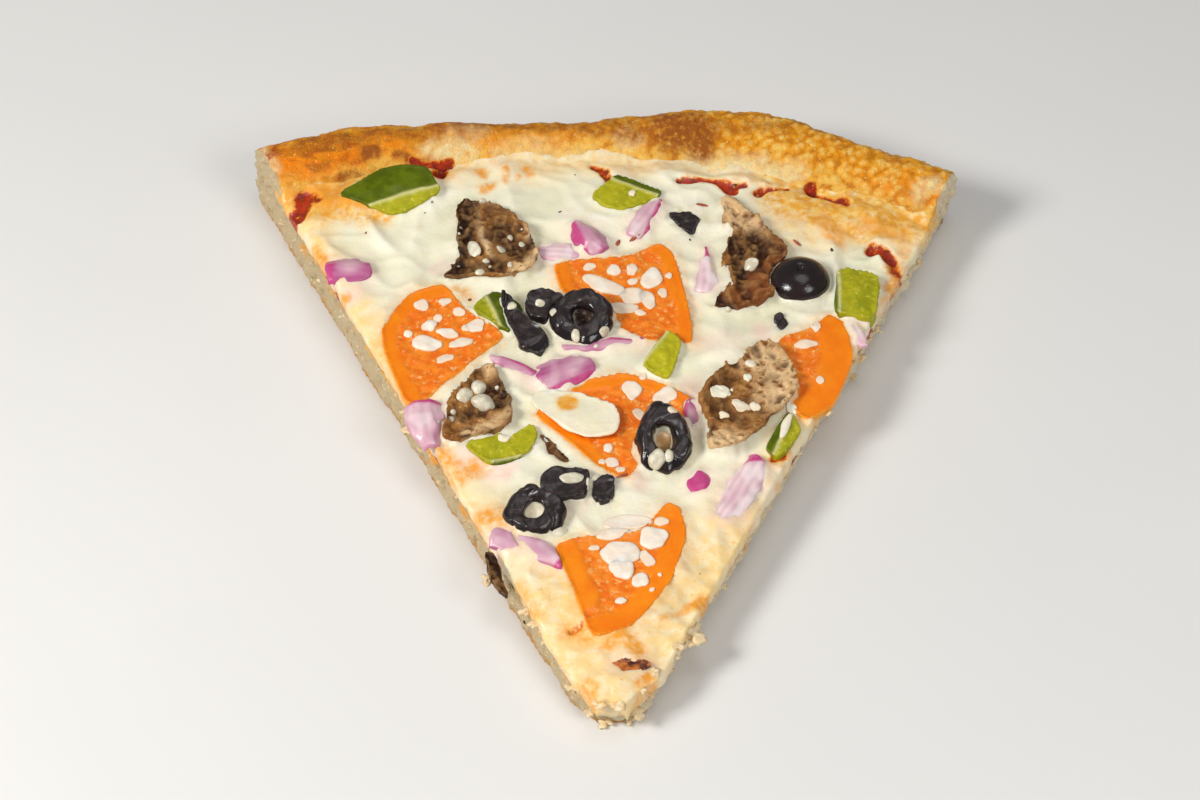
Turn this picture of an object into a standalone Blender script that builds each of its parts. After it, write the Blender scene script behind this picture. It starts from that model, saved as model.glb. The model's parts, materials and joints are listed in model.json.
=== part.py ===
"""A slice of vegetable pizza: dough with a raised rim, sauce, melted cheese and its toppings."""
import math

import bmesh
import bpy
from mathutils import Matrix, Vector, noise
from mathutils.bvhtree import BVHTree

MM = 0.001
GAP = 0.3 * MM

# Plan of the slice: the apex is the middle of the whole pizza and +Y runs out to the rim
HALF_ANGLE = math.radians(25.3)
TIP_RADIUS = 12.5 * MM
RIM_RADII = tuple(r * MM for r in (205.0, 203.5, 198.5, 196.0, 199.0, 203.0, 198.0, 196.5))
FOOT_RADIUS = 180.0 * MM
FOOT_SKEW = -4.0 * MM
CELL = 3.4 * MM

# Heights of the layers: their meeting faces are flat planes that rise towards the rim
DOUGH_AT_TIP = 5.0 * MM
DOUGH_AT_FOOT = 9.6 * MM
SAUCE_THICK = 1.0 * MM
CHEESE_THICK = 3.4 * MM
CHEESE_MIN = 0.7 * MM
PRESS_PASSES = 5
NET = 0.7 * MM
TRIM_GAP = 0.4 * MM

# The rim's section
RIM_HEIGHT = 19.0 * MM
RIM_SHOULDER = 3.0 * MM
RIM_CREST_IN = 6.5 * MM
RIM_SIDE_HEIGHT = 9.0 * MM
RIM_UNDERCUT = 2.0 * MM
EDGE_REACH = 1.3 * MM
RIM_SLOPE_ROWS = 7
RIM_BACK_ROWS = 5

# Blisters on the rim: azimuth in degrees, share of the rim's width, height, radius
RIM_BLISTERS = (
    (-11.6, 0.55, 1.6 * MM, 7.0 * MM),
    (6.0, 0.62, 1.3 * MM, 8.0 * MM),
    (4.0, 0.40, 0.8 * MM, 6.0 * MM),
    (13.0, 0.50, 1.0 * MM, 9.0 * MM),
    (-20.5, 0.45, 0.9 * MM, 10.0 * MM),
    (20.0, 0.45, 0.7 * MM, 9.0 * MM),
)

# The knife's two sides: how far each upper edge leans out past the foot of its wall
LEFT_LEAN = -0.6 * MM
RIGHT_LEAN = 2.4 * MM
CUT_RUFFLE = 0.55 * MM

# The worn tip: its width as a share of the full wedge, and the length over which it fills out
TIP_SHARE = 0.45
TIP_LENGTH = 6.0 * MM

# Tomato half slices: middle (x, y), corner points round it, all in millimetres
TOMATOES = {
    "tomato_left": ((-38.8, 118.1), ((0, 20), (-8.5, 16.5), (-14.5, 5.5), (-14, -1), (-12, -8), (-8, -19.5),
                                     (-5, -20), (3.5, -10.5), (14.5, 2), (12.5, 5.5), (5.5, 10.5))),
    "tomato_back": ((3.4, 135.0), ((-16.5, 9), (-12.5, 11), (2, 12.5), (9, 17), (12.5, 13), (16, -6),
                                   (16.5, -17), (14, -17.5), (4.5, -15.5), (-5, -9), (-14.5, 0))),
    "tomato_middle": ((1.3, 92.4), ((-7.5, 13.5), (2.5, 16), (11.5, 12.5), (19.5, 6.5), (15.5, 1), (6.5, -10),
                                    (3.5, -18.5), (-4, -14), (-8.5, -8), (-19, 3), (-12.5, 7.5))),
    "tomato_right": ((48.4, 109.7), ((-9, 10), (-1.5, 13), (4.5, 18.5), (7.5, 17), (9, 3), (3.5, -12),
                                     (-3, -17), (-8, -10))),
    "tomato_tip": ((2.7, 47.8), ((10.5, 20), (13.5, 18), (15, 10), (11, -4.5), (2.5, -17), (-6.5, -20),
                                 (-10, -8), (-15, 7), (-9.5, 9.5), (4.5, 11))),
}
TOMATO_THICK = 2.6 * MM

# Green pepper chunks: middle, corner points, thickness, crown of the upper face and tilt in degrees
PEPPERS = {
    "pepper_rim": ((-52.9, 169.2), ((-13, -1.3), (-3, 5.8), (0.5, 7.2), (9, 7), (12.8, -0.5), (4.3, -6.6),
                                    (0, -7.4), (-7.5, -3.6)), 3.6, 1.2, 11),
    "pepper_back": ((5.0, 168.8), ((-9, -1.5), (-8, 0.5), (-4.5, 3.5), (-3, 6.5), (9, -0.5), (2, -5),
                                   (-2, -6.5), (-6, -5)), 4.0, 0.6, 0),
    "pepper_right": ((58.9, 133.3), ((-4, 9), (6, 6), (4, -9), (-6, -6.5)), 4.4, 0.9, 0),
    "pepper_left": ((-26.8, 128.4), ((0, 7), (-6, 1), (4, -7.5), (7, -6), (6.5, 2)), 3.6, 0.6, 0),
    "pepper_middle": ((12.6, 112.9), ((1.5, 8.5), (5, 4.5), (1.5, -8.5), (-5, -3.5)), 4.4, 0.8, 0),
    "pepper_crescent": ((-24.5, 84.9), ((-8.5, -0.5), (-4.5, 3.5), (-1, 3.5), (2, 1.5), (4, 4.5),
                                        (7.5, 6.5), (8.5, 3.5), (7, -1.5), (3, -5.5), (-0.5, -6.5),
                                        (-4.5, -4.5)), 3.8, 0.0, 0),
    "pepper_edge": ((40.0, 88.8), ((-4.5, -5), (-1, 2.5), (1.5, 7), (4.5, 1), (1.5, -4.5), (-1.5, -8)),
                    3.4, 0.6, 0),
}

# Mushroom slices: middle, corner points, thickness, tilt about X and Y in degrees and the depth
# to which the gills have shrunk
MUSHROOMS = {
    "mushroom_back_left": ((-27.5, 151.1), ((-8.7, 14), (-6, 14), (-2.7, 13.7), (0.5, 12.6), (3.8, 10.3),
                                            (6.7, 6.9), (8.6, 3.5), (10.2, -0.3), (10.9, -4.1), (10, -7.1),
                                            (8.3, -9.4), (5.9, -11.2), (3.2, -12.4), (-3.8, -11.8),
                                            (-8.9, -12.4), (-11.4, -12), (-9.6, -9.6), (-7.6, -4.1),
                                            (-8.7, 0.5), (-9, 8)), 4.8, 0, 0, 1.0),
    "mushroom_back_right": ((33.8, 146.9), ((-5.4, 19.5), (-1.4, 16.2), (2.4, 11.7), (5.2, 6.8), (7.8, 4.1),
                                            (8.8, 0.3), (7.8, -2.6), (6, -6), (5.9, -10.2), (5.4, -14),
                                            (2.4, -16.7), (-3, -18.6), (-9, -17.6), (-8.2, -14.6),
                                            (-3.8, -12), (-4.4, -6.5), (-5.6, -0.3), (-5.4, 3.6),
                                            (-3, 7), (-4.3, 10.9), (-6.2, 16.2)), 5.0, 0, 0, 1.0),
    "mushroom_left": ((-29.6, 97.6), ((2, 13), (4.5, 7), (7.5, 1), (7.5, -5.5), (5, -9), (-1.5, -10.5),
                                      (-4.5, -12), (-8, -11), (-8, -6), (-6.5, 2), (-2.5, 8)),
                      4.8, 0, 0, 1.2),
    "mushroom_right": ((32.0, 99.5), ((4, 17.5), (7.5, 16.5), (10.5, 10), (11.5, 3), (8.5, -2.5), (4, -9.5),
                                       (0, -14), (-4, -17.5), (-9, -17), (-9.5, -8.5), (-11.5, -2.5),
                                       (-9, 3), (-6, 8.5), (-2, 9.5), (1, 15)), 4.6, -2, 4, 0.8),
    "mushroom_sliver": ((-24.6, 46.8), ((-3.5, 7), (-0.5, 6), (1.5, -1), (3, -7), (0.5, -5.5), (-2, -1)),
                        3.0, 0, 0, 0.0),
    "mushroom_scrap": ((-12.3, 84.2), ((-3.5, 5), (-1.5, 4), (1, 0.5), (4.5, -3.5), (2.5, -4.5),
                                       (-1.5, -1.5)), 2.8, 0, 0, 0.0),
}
TROUGH_IN = 1.2 * MM

# The curled crisp bit of onion near the tip
CRISP_AT = (4.6, 20.4)
CRISP_OUTLINE = ((-4.5, 1), (0, 2.4), (4.5, 0.5), (3, -2), (-2, -2.5))

# Red onion leaves: middle, length, widths at both ends and in the middle, heading in degrees,
# side bend, cup across the leaf and arch along it
ONIONS = {
    "onion_back": ((9.0, 160.4), 15.0, (5.0, 6.0, 5.0), 62, 0.0, 1.4, 0.3),
    "onion_fold": ((-4.6, 152.6), 12.0, (5.0, 8.0, 5.5), -52, 0.6, 2.2, 0.8),
    "onion_pale": ((-11.6, 149.0), 9.5, (4.5, 5.5, 5.0), 0, 0.0, 0.3, 0.0),
    "onion_spike": ((23.4, 142.5), 16.0, (6.0, 3.8, 1.0), 90, 0.0, 0.5, 0.2),
    "onion_centre": ((-9.8, 108.6), 14.0, (9.4, 10.0, 6.4), 24, 0.0, 1.2, 0.4),
    "onion_band": ((-1.4, 118.0), 20.0, (2.6, 4.0, 2.0), 8, 0.6, 0.4, 0.2),
    "onion_streak": ((-22.4, 110.8), 13.0, (2.2, 3.4, 2.0), -28, 0.5, 0.5, 0.3),
    "onion_left_edge": ((-41.6, 91.2), 14.5, (10.0, 9.0, 4.5), -78, 0.0, 1.6, 0.5),
    "onion_far_left": ((-61.8, 142.3), 11.0, (7.0, 8.0, 6.0), 4, 0.0, 1.5, 0.2),
    "onion_by_mushroom": ((20.0, 94.8), 9.5, (4.0, 4.4, 3.2), 100, 0.0, 0.6, 0.2),
    "onion_front": ((-21.8, 55.9), 9.5, (5.5, 6.5, 5.5), -20, 0.0, 1.0, 0.2),
    "onion_front_strip": ((-14.6, 53.1), 17.5, (4.6, 5.0, 2.2), -47, 0.9, 0.8, 0.5),
    "onion_right_edge": ((29.9, 71.4), 22.0, (6.0, 8.0, 6.0), 63, 0.0, 1.2, 0.3),
    "onion_spot": ((20.6, 73.5), 6.6, (4.0, 6.0, 4.0), 90, 0.0, 0.8, 0.4),
    "onion_by_tomato": ((58.4, 121.5), 10.0, (2.4, 3.0, 1.8), -70, 0.0, 0.4, 0.2),
}
UNDER_TOMATO = ("onion_front", "onion_front_strip", "onion_band", "onion_pale")
ONION_THICK = 1.4 * MM

# Black olive rings: middle, outer radius, hole radius, thickness, start and sweep of the ring,
# tilt about X and Y, all angles in degrees, and the ring's length as a share of its width
OLIVE_RINGS = {
    "olive_ring_back": ((-6.1, 125.3), 7.7, 2.4, 4.8, 0, 360, 10, 0, 1.0),
    "olive_ring_middle": ((12.4, 85.0), 6.6, 2.2, 5.2, 0, 360, 16, 6, 1.32),
    "olive_ring_front": ((-16.4, 64.0), 6.9, 2.0, 4.8, -170, 360, 14, -4, 0.92),
}

# Black olive scraps: middle, corner points, thickness
OLIVE_SCRAPS = {
    "olive_half_back": ((-15.0, 128.4), ((-3.8, 0.5), (-3, 3.6), (0.4, 4.8), (3.2, 3.4), (3.9, 0), (2.8, -3),
                                         (0, -4), (-3, -2.8)), 5.2),
    "olive_half_front": ((-9.9, 72.0), ((-5.4, -1), (-5, 2.5), (-2, 4.6), (2, 4.4), (5, 4), (5.4, 0),
                                        (4.6, -3.6), (0, -4.6), (-3.6, -4)), 4.8),
    "olive_hook_front": ((-1.2, 70.8), ((-2.8, -1.5), (-2.6, 2.6), (0.2, 4.2), (2.6, 3.2), (3.1, 0),
                                        (2.2, -3), (-0.6, -4.2)), 4.2),
    "olive_wedge_back": ((-19.8, 123.4), ((-5, 10), (-2.5, 7), (0, 2), (3.4, -1.5), (5.6, -5.5), (3.5, -10.5),
                                          (-0.5, -7.5), (-3, -1.5), (-4.6, 4.5)), 4.4),
    "olive_comma": ((18.6, 159.2), ((-1, 3.4), (1.2, 3.2), (3.4, 0), (1.8, -4.2), (-1.2, -2.4), (-3.8, 3.4)), 2.8),
    "olive_crumb": ((40.6, 124.8), ((-2, 1.5), (0, 3.4), (2, 0.5), (0, -3)), 2.6),
}
UNDER_RING = ("olive_half_back",)
OLIVE_CAP_AT = (45.6, 138.4)
OLIVE_CAP_RADIUS = 7.2 * MM
OLIVE_CAP_HEIGHT = 7.4 * MM

# The pool of melted cheese that lies on the middle tomato slice
POOL_AT = (-4.4, 92.6)
POOL_OUTLINE = ((-8, 2), (-6, 5.5), (0, 6.5), (6.5, 4.5), (8, 0), (6, -5), (0, -6.5), (-5, -4))
POOL_THICK = 1.5 * MM

# How high above the cheese's lower face each kind of topping starts
TOMATO_SINK = 2.0 * MM
PEPPER_SINK = 1.6 * MM
MUSHROOM_SINK = 1.7 * MM
ONION_SINK = 2.6 * MM
OLIVE_SINK = 1.8 * MM

COLOURS = {
    "dough": ((0.72, 0.50, 0.24), 0.75),
    "sauce": ((0.42, 0.06, 0.02), 0.40),
    "cheese": ((0.86, 0.80, 0.60), 0.40),
    "tomato": ((0.80, 0.16, 0.03), 0.30),
    "pepper": ((0.20, 0.30, 0.03), 0.35),
    "mushroom": ((0.22, 0.13, 0.07), 0.65),
    "onion": ((0.62, 0.30, 0.45), 0.35),
    "olive": ((0.012, 0.010, 0.012), 0.22),
}


def clear_scene():
    """Empty the file, so that the slice stands alone in it."""
    for obj in list(bpy.data.objects):
        bpy.data.objects.remove(obj, do_unlink=True)


def food_material(name, kind):
    """A plain coloured material of one food."""
    colour, roughness = COLOURS[kind]
    material = bpy.data.materials.new(name)
    material.use_nodes = True
    shader = material.node_tree.nodes["Principled BSDF"]
    shader.inputs["Base Color"].default_value = (*colour, 1.0)
    shader.inputs["Roughness"].default_value = roughness
    shader.inputs["Metallic"].default_value = 0.0
    return material


def add_piece(collection, name, kind, bm, smooth=True):
    """Turn a finished bmesh into a named object of the slice."""
    bmesh.ops.recalc_face_normals(bm, faces=bm.faces)
    mesh = bpy.data.meshes.new(name)
    bm.to_mesh(mesh)
    bm.free()
    if smooth:
        mesh.shade_smooth()
        mesh.set_sharp_from_angle(angle=math.radians(50))
    mesh.materials.append(food_material(name, kind))
    piece = bpy.data.objects.new(name, mesh)
    collection.objects.link(piece)
    return piece


def spline(values, position):
    """A smooth curve through evenly spaced values, read at a position from 0 to 1."""
    last = len(values) - 1
    at = min(max(position, 0.0), 1.0) * last
    i = min(int(at), last - 1)
    t = at - i
    before = values[max(i - 1, 0)]
    start = values[i]
    end = values[i + 1]
    after = values[min(i + 2, last)]
    return 0.5 * (2 * start + (end - before) * t + (2 * before - 5 * start + 4 * end - after) * t * t
                  + (3 * start - before - 3 * end + after) * t ** 3)


def across(azimuth):
    """Share of the way from the left cut to the right cut."""
    return 0.5 + azimuth / (2 * HALF_ANGLE)


def rim_radius(azimuth):
    return spline(RIM_RADII, across(azimuth))


def foot_radius(azimuth):
    return FOOT_RADIUS + FOOT_SKEW * azimuth / HALF_ANGLE


def layer_plane(y):
    """Height of the flat face between the dough and the sauce."""
    return DOUGH_AT_TIP + (DOUGH_AT_FOOT - DOUGH_AT_TIP) * y / FOOT_RADIUS


def sauce_floor(x, y):
    return layer_plane(y) + GAP


def sauce_top(x, y):
    return sauce_floor(x, y) + SAUCE_THICK


def cheese_floor(x, y):
    return sauce_top(x, y) + GAP


def cheese_top(x, y):
    """The melted surface: long sags, smaller blisters, and a thinner lip along both cuts."""
    azimuth = math.atan2(x, y)
    radius = math.hypot(x, y)
    to_cut = radius * math.sin(max(HALF_ANGLE - abs(azimuth), 0.0))
    lip = math.exp(-(to_cut / (2.5 * MM)) ** 2)
    sag = noise.noise(Vector((x / (26 * MM), y / (26 * MM), 3.1)))
    blister = noise.noise(Vector((x / (9 * MM), y / (9 * MM), 7.7)))
    return cheese_floor(x, y) + CHEESE_THICK + (0.9 * sag + 0.45 * blister - 1.1 * lip) * MM


def rim_blisters(azimuth, radius, share):
    """Height that the bubbles under the rim's skin add."""
    width = rim_radius(azimuth) - foot_radius(azimuth)
    lift = 0.0
    for at, along, height, size in RIM_BLISTERS:
        sideways = (azimuth - math.radians(at)) * radius
        outwards = (share - along) * width
        lift += height * math.exp(-(sideways ** 2 + outwards ** 2) / (0.5 * size * size))
    return lift


def dough_top(x, y):
    """The flat floor under the sauce, then the rim: a steep foot, a crest and a rounded back."""
    azimuth = math.atan2(x, y)
    radius = math.hypot(x, y)
    foot = foot_radius(azimuth)
    rim = rim_radius(azimuth)
    floor = layer_plane(y)
    if radius <= foot + 1e-6:
        return floor
    share = min((radius - foot) / (rim - foot), 1.0)
    crest = rim - RIM_CREST_IN
    lift = rim_blisters(azimuth, radius, share)
    lift += 0.5 * MM * noise.noise(Vector((x / (8 * MM), y / (8 * MM), 1.3)))
    crown = RIM_HEIGHT + lift
    if radius >= crest:
        over = min((radius - crest) / (rim - crest), 1.0)
        return RIM_SIDE_HEIGHT + (crown - RIM_SIDE_HEIGHT) * math.sqrt(max(1.0 - over * over, 0.0))
    shoulder_height = floor + 1.35 * RIM_SHOULDER
    if radius <= foot + RIM_SHOULDER:
        return floor + (shoulder_height - floor) * (radius - foot) / RIM_SHOULDER
    rise = (radius - foot - RIM_SHOULDER) / (crest - foot - RIM_SHOULDER)
    return shoulder_height + (crown - shoulder_height) * math.sin(rise * math.pi / 2)


def covered_row(radius, end):
    """A row in the covered area: straight at the tip, and at the rim an arc that lies end past the foot."""
    share = radius / FOOT_RADIUS

    def place(x):
        azimuth = math.asin(x / FOOT_RADIUS)
        reach = radius + (foot_radius(azimuth) + end - FOOT_RADIUS) * share ** 3
        arc = math.sqrt(max(reach * reach - x * x, 0.0))
        return radius + (arc - radius) * share ** 2
    return place


def rim_row(radius_at):
    """A row along the rim at the radius that radius_at gives for an azimuth."""
    def place(x):
        radius = FOOT_RADIUS
        for _ in range(3):
            radius = radius_at(math.asin(x / radius))
        return math.sqrt(radius * radius - x * x)
    return place


def inner_rows(end):
    """Rows from the blunt tip to the foot of the rim, one cell apart."""
    count = round((FOOT_RADIUS - TIP_RADIUS) / CELL)
    rows = []
    for i in range(count + 1):
        radius = TIP_RADIUS + (FOOT_RADIUS - TIP_RADIUS) * i / count
        rows.append(covered_row(radius, end))
    return rows


def rim_rows():
    """Rows up the rim's inner slope, over its crest and down its rounded back."""
    rows = []
    for i in range(RIM_SLOPE_ROWS):
        def on_slope(azimuth, part=i / (RIM_SLOPE_ROWS - 1)):
            start = foot_radius(azimuth) + RIM_SHOULDER
            return start + (rim_radius(azimuth) - RIM_CREST_IN - start) * part
        rows.append(rim_row(on_slope))
    for i in range(1, RIM_BACK_ROWS + 1):
        def on_back(azimuth, turn=i / RIM_BACK_ROWS * math.pi / 2):
            return rim_radius(azimuth) - RIM_CREST_IN * (1.0 - math.sin(turn))
        rows.append(rim_row(on_back))
    return rows


def cut_sheet(rows, inset, seed):
    """A sheet over the given rows, cut by the two sides of the slice, with uneven edges."""
    half_width = 96 * MM
    columns = round(2 * half_width / CELL)
    bm = bmesh.new()
    bmesh.ops.create_grid(bm, x_segments=columns, y_segments=len(rows) - 1, size=1.0)
    for vert in bm.verts:
        row = rows[round((vert.co.y + 1.0) / 2.0 * (len(rows) - 1))]
        x = vert.co.x * half_width
        vert.co = Vector((x, row(x), 0.0))
    for side, lean in ((-1, LEFT_LEAN), (1, RIGHT_LEAN)):
        outward = Vector((side * math.cos(HALF_ANGLE), -math.sin(HALF_ANGLE), 0.0))
        bmesh.ops.bisect_plane(bm, geom=bm.verts[:] + bm.edges[:] + bm.faces[:], dist=1e-7,
                               plane_co=outward * (lean - inset), plane_no=outward, clear_outer=True)
    bmesh.ops.remove_doubles(bm, verts=bm.verts, dist=0.5 * MM)
    for vert in bm.verts:
        worn = min((vert.co.y - TIP_RADIUS) / TIP_LENGTH, 1.0)
        if worn < 1.0:
            vert.co.x *= TIP_SHARE + (1.0 - TIP_SHARE) * math.sin(max(worn, 0.0) * math.pi / 2)
    for vert in bm.verts:
        if vert.is_boundary:
            vert.co += ruffle(vert.co, seed)
    return bm


def ruffle(point, seed):
    """The small sideways wander of a torn or cut edge."""
    where = Vector((point.x / (6 * MM), point.y / (6 * MM), seed))
    return CUT_RUFFLE * Vector((noise.noise(where), noise.noise(where + Vector((9.0, 4.0, 0.0))), 0.0))


def thicken(bm, top, bottom):
    """Give a flat sheet its upper surface, and a lower face joined to it by walls."""
    made = bmesh.ops.extrude_face_region(bm, geom=bm.faces[:], use_keep_orig=True)
    lower = [item for item in made["geom"] if isinstance(item, bmesh.types.BMVert)]
    lower_set = set(lower)
    for vert in bm.verts:
        shape = bottom if vert in lower_set else top
        vert.co.z = shape(vert.co.x, vert.co.y)
    return lower


def merge_flat(bm):
    """Join the coplanar cells of the flat faces."""
    bm.normal_update()
    bmesh.ops.dissolve_limit(bm, angle_limit=math.radians(0.05), use_dissolve_boundaries=False,
                             verts=bm.verts, edges=bm.edges, delimit=set())


def make_dough():
    """The base and its rim in one piece, standing on its flat underside."""
    bm = cut_sheet(inner_rows(0.0) + rim_rows(), 0.0, 0.5)
    lower = thicken(bm, dough_top, lambda x, y: 0.0)
    for vert in lower:
        x, y = vert.co.x, vert.co.y
        radius = math.hypot(x, y)
        azimuth = math.atan2(x, y)
        if radius > rim_radius(azimuth) - EDGE_REACH:
            vert.co.xy *= (radius - RIM_UNDERCUT) / radius
        for side, lean in ((-1, LEFT_LEAN), (1, RIGHT_LEAN)):
            outward = Vector((side * math.cos(HALF_ANGLE), -math.sin(HALF_ANGLE), 0.0))
            if vert.co.dot(outward) > lean - EDGE_REACH and y > TIP_RADIUS + TIP_LENGTH:
                vert.co -= outward * lean
    merge_flat(bm)
    return bm


def make_sauce():
    """A thin even layer that runs through to both cuts."""
    bm = cut_sheet(inner_rows(-0.7 * MM), 0.25 * MM, 1.5)
    thicken(bm, sauce_top, sauce_floor)
    merge_flat(bm)
    return bm


def make_cheese(toppings):
    """The melted layer, pressed down under every topping."""
    bm = cut_sheet(inner_rows(1.0 * MM), 0.1 * MM, 2.5)
    lower = thicken(bm, cheese_top, cheese_floor)
    lower_set = set(lower)
    for vert in lower:
        azimuth = math.atan2(vert.co.x, vert.co.y)
        over = vert.co.xy.length - (foot_radius(azimuth) - 0.7 * MM)
        if over > 0.0:
            vert.co.xy *= 1.0 - over / vert.co.xy.length
            vert.co.z = cheese_floor(vert.co.x, vert.co.y)
    for _ in range(PRESS_PASSES):
        press_under(bm, toppings, lower_set)
    merge_flat(bm)
    return bm


def press_under(bm, toppings, fixed):
    """Lower the corners of every surface cell that a topping's underside reaches into."""
    bm.normal_update()
    bm.faces.ensure_lookup_table()
    surface = BVHTree.FromBMesh(bm)
    drops = {}
    for piece in toppings:
        for at, under in underside(piece):
            hit, normal, index, distance = surface.ray_cast(Vector((at.x, at.y, 0.1)), Vector((0, 0, -1)))
            if hit is None or hit.z <= under - GAP:
                continue
            for vert in bm.faces[index].verts:
                if vert not in fixed:
                    drops[vert] = max(drops.get(vert, 0.0), hit.z - under + GAP)
    for vert, drop in drops.items():
        floor = cheese_floor(vert.co.x, vert.co.y)
        vert.co.z = max(vert.co.z - drop, floor + CHEESE_MIN)


def underside(piece):
    """Places on a fine net below a piece, each with the height of its underside."""
    tree = tree_of(piece)
    corners = [vert.co for vert in piece.data.vertices]
    low = Vector([min(c[i] for c in corners) for i in range(3)])
    high = Vector([max(c[i] for c in corners) for i in range(3)])
    places = []
    for i in range(int((high.x - low.x) / NET) + 2):
        for j in range(int((high.y - low.y) / NET) + 2):
            places.append(Vector((low.x + i * NET, low.y + j * NET, 0.0)))
    places += [Vector((c.x, c.y, 0.0)) for c in corners]
    found = []
    for at in places:
        hit = tree.ray_cast(at, Vector((0, 0, 1)))[0]
        if hit is not None:
            found.append((at, hit.z))
    return found


def tree_of(piece):
    """A search tree of a piece's faces."""
    bm = bmesh.new()
    bm.from_mesh(piece.data)
    tree = BVHTree.FromBMesh(bm)
    bm.free()
    return tree


def star(reach):
    """Offsets of a small star of sample points round a place."""
    offsets = [(0.0, 0.0)]
    for ring in (0.5, 1.0):
        for k in range(8):
            turn = k * math.pi / 4
            offsets.append((reach * ring * math.cos(turn), reach * ring * math.sin(turn)))
    return offsets


def settle(piece, placed):
    """Raise a piece until it clears all that lies below it by the gap."""
    trees = [tree_of(other) for other in placed]
    lift = 0.0
    for at, under in underside(piece):
        for dx, dy in star(NET):
            above = Vector((at.x + dx, at.y + dy, 0.1))
            for tree in trees:
                hit = tree.ray_cast(above, Vector((0, 0, -1)))[0]
                if hit is not None:
                    lift = max(lift, hit.z + 1.5 * GAP - under)
    piece.data.transform(Matrix.Translation((0.0, 0.0, lift)))


def outline_prism(piece):
    """A tall prism round a piece's outline in plan, one gap larger than the piece."""
    bm = bmesh.new()
    for vert in piece.data.vertices:
        for k in range(8):
            turn = (k + 0.5) * math.pi / 4
            x = vert.co.x + TRIM_GAP * math.cos(turn)
            y = vert.co.y + TRIM_GAP * math.sin(turn)
            bm.verts.new((x, y, -10 * MM))
            bm.verts.new((x, y, 60 * MM))
    hull = bmesh.ops.convex_hull(bm, input=bm.verts)
    spare = {item for item in hull["geom_interior"] + hull["geom_unused"] if isinstance(item, bmesh.types.BMVert)}
    bmesh.ops.delete(bm, geom=list(spare), context="VERTS")
    merge_flat(bm)
    bmesh.ops.remove_doubles(bm, verts=bm.verts, dist=0.05 * MM)
    bmesh.ops.recalc_face_normals(bm, faces=bm.faces)
    mesh = bpy.data.meshes.new("outline_prism")
    bm.to_mesh(mesh)
    bm.free()
    return mesh


def trim(lower, upper, cutters):
    """Shorten a lower topping where an upper one covers it."""
    cutter = bpy.data.objects.new("cutter", outline_prism(upper))
    cutter.hide_render = True
    cutter.display_type = "WIRE"
    cutters.objects.link(cutter)
    cut = lower.modifiers.new("trim", "BOOLEAN")
    cut.operation = "DIFFERENCE"
    cut.solver = "EXACT"
    cut.object = cutter
    evaluated = lower.evaluated_get(bpy.context.evaluated_depsgraph_get())
    mesh = bpy.data.meshes.new_from_object(evaluated)
    lower.modifiers.remove(cut)
    bm = bmesh.new()
    bm.from_mesh(mesh)
    bmesh.ops.remove_doubles(bm, verts=bm.verts, dist=0.02 * MM)
    keep_largest(bm)
    bm.to_mesh(mesh)
    bm.free()
    lower.data = mesh
    bpy.data.objects.remove(cutter, do_unlink=True)


def keep_largest(bm):
    """Drop the small scraps that a cut leaves beside the main piece."""
    left = set(bm.verts)
    islands = []
    while left:
        island = []
        todo = [left.pop()]
        while todo:
            vert = todo.pop()
            island.append(vert)
            for edge in vert.link_edges:
                other = edge.other_vert(vert)
                if other in left:
                    left.remove(other)
                    todo.append(other)
        islands.append(island)
    islands.sort(key=len)
    for island in islands[:-1]:
        bmesh.ops.delete(bm, geom=island, context="VERTS")


def covers(upper, lower):
    """Whether an upper topping lies over a lower one in plan."""
    below = tree_of(lower)
    for at, under in underside(upper):
        for dx, dy in star(NET):
            if below.ray_cast(Vector((at.x + dx, at.y + dy, 0.1)), Vector((0, 0, -1)))[0] is not None:
                return True
    return False


def rounded(points, corner=0.22):
    """A closed outline in metres that follows the corner points and rounds each of them."""
    outline = []
    count = len(points)
    for i in range(count):
        a = Vector(points[i - 1])
        b = Vector(points[i])
        c = Vector(points[(i + 1) % count])
        enter = b.lerp(a, corner)
        leave = b.lerp(c, corner)
        middle = enter.lerp(leave, 0.5).lerp(b, 0.5)
        for point in (enter, middle, leave):
            outline.append(point * MM)
    return outline


def chip(points, thickness, edge, crown=0.0, dish=0.0, trough=0.0):
    """A flat piece of an outline with softened upper edges and a crowned, dished or sunken face."""
    bm = bmesh.new()
    bmesh.ops.create_circle(bm, cap_ends=True, segments=3 * len(points), radius=MM)
    disc = bm.faces[:][0]
    corners = [loop.vert for loop in disc.loops]
    outline = rounded(points)
    if disc.normal.z < 0:
        corners.reverse()
    if signed_area(outline) < 0:
        outline.reverse()
    for vert, at in zip(corners, outline):
        vert.co = Vector((at.x, at.y, 0.0))
    made = bmesh.ops.extrude_face_region(bm, geom=[disc], use_keep_orig=True)
    upper = [item for item in made["geom"] if isinstance(item, bmesh.types.BMVert)]
    top = [item for item in made["geom"] if isinstance(item, bmesh.types.BMFace)]
    bmesh.ops.translate(bm, verts=upper, vec=(0, 0, thickness))
    bm.normal_update()
    bmesh.ops.inset_region(bm, faces=top, thickness=edge, use_even_offset=False)
    for vert in upper:
        vert.co.z -= edge * 0.8
    if trough:
        bmesh.ops.inset_region(bm, faces=top, thickness=TROUGH_IN, use_even_offset=False)
        for vert in top[0].verts:
            where = Vector((vert.co.x / (4 * MM), vert.co.y / (4 * MM), 5.0))
            vert.co.z -= trough * (1.0 + 0.8 * noise.noise(where))
    if crown or dish:
        poked = bmesh.ops.poke(bm, faces=top)
        for vert in poked["verts"]:
            vert.co.z += crown - dish
    return bm


def signed_area(outline):
    return 0.5 * sum(a.cross(b) for a, b in zip(outline, outline[1:] + outline[:1]))


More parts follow.
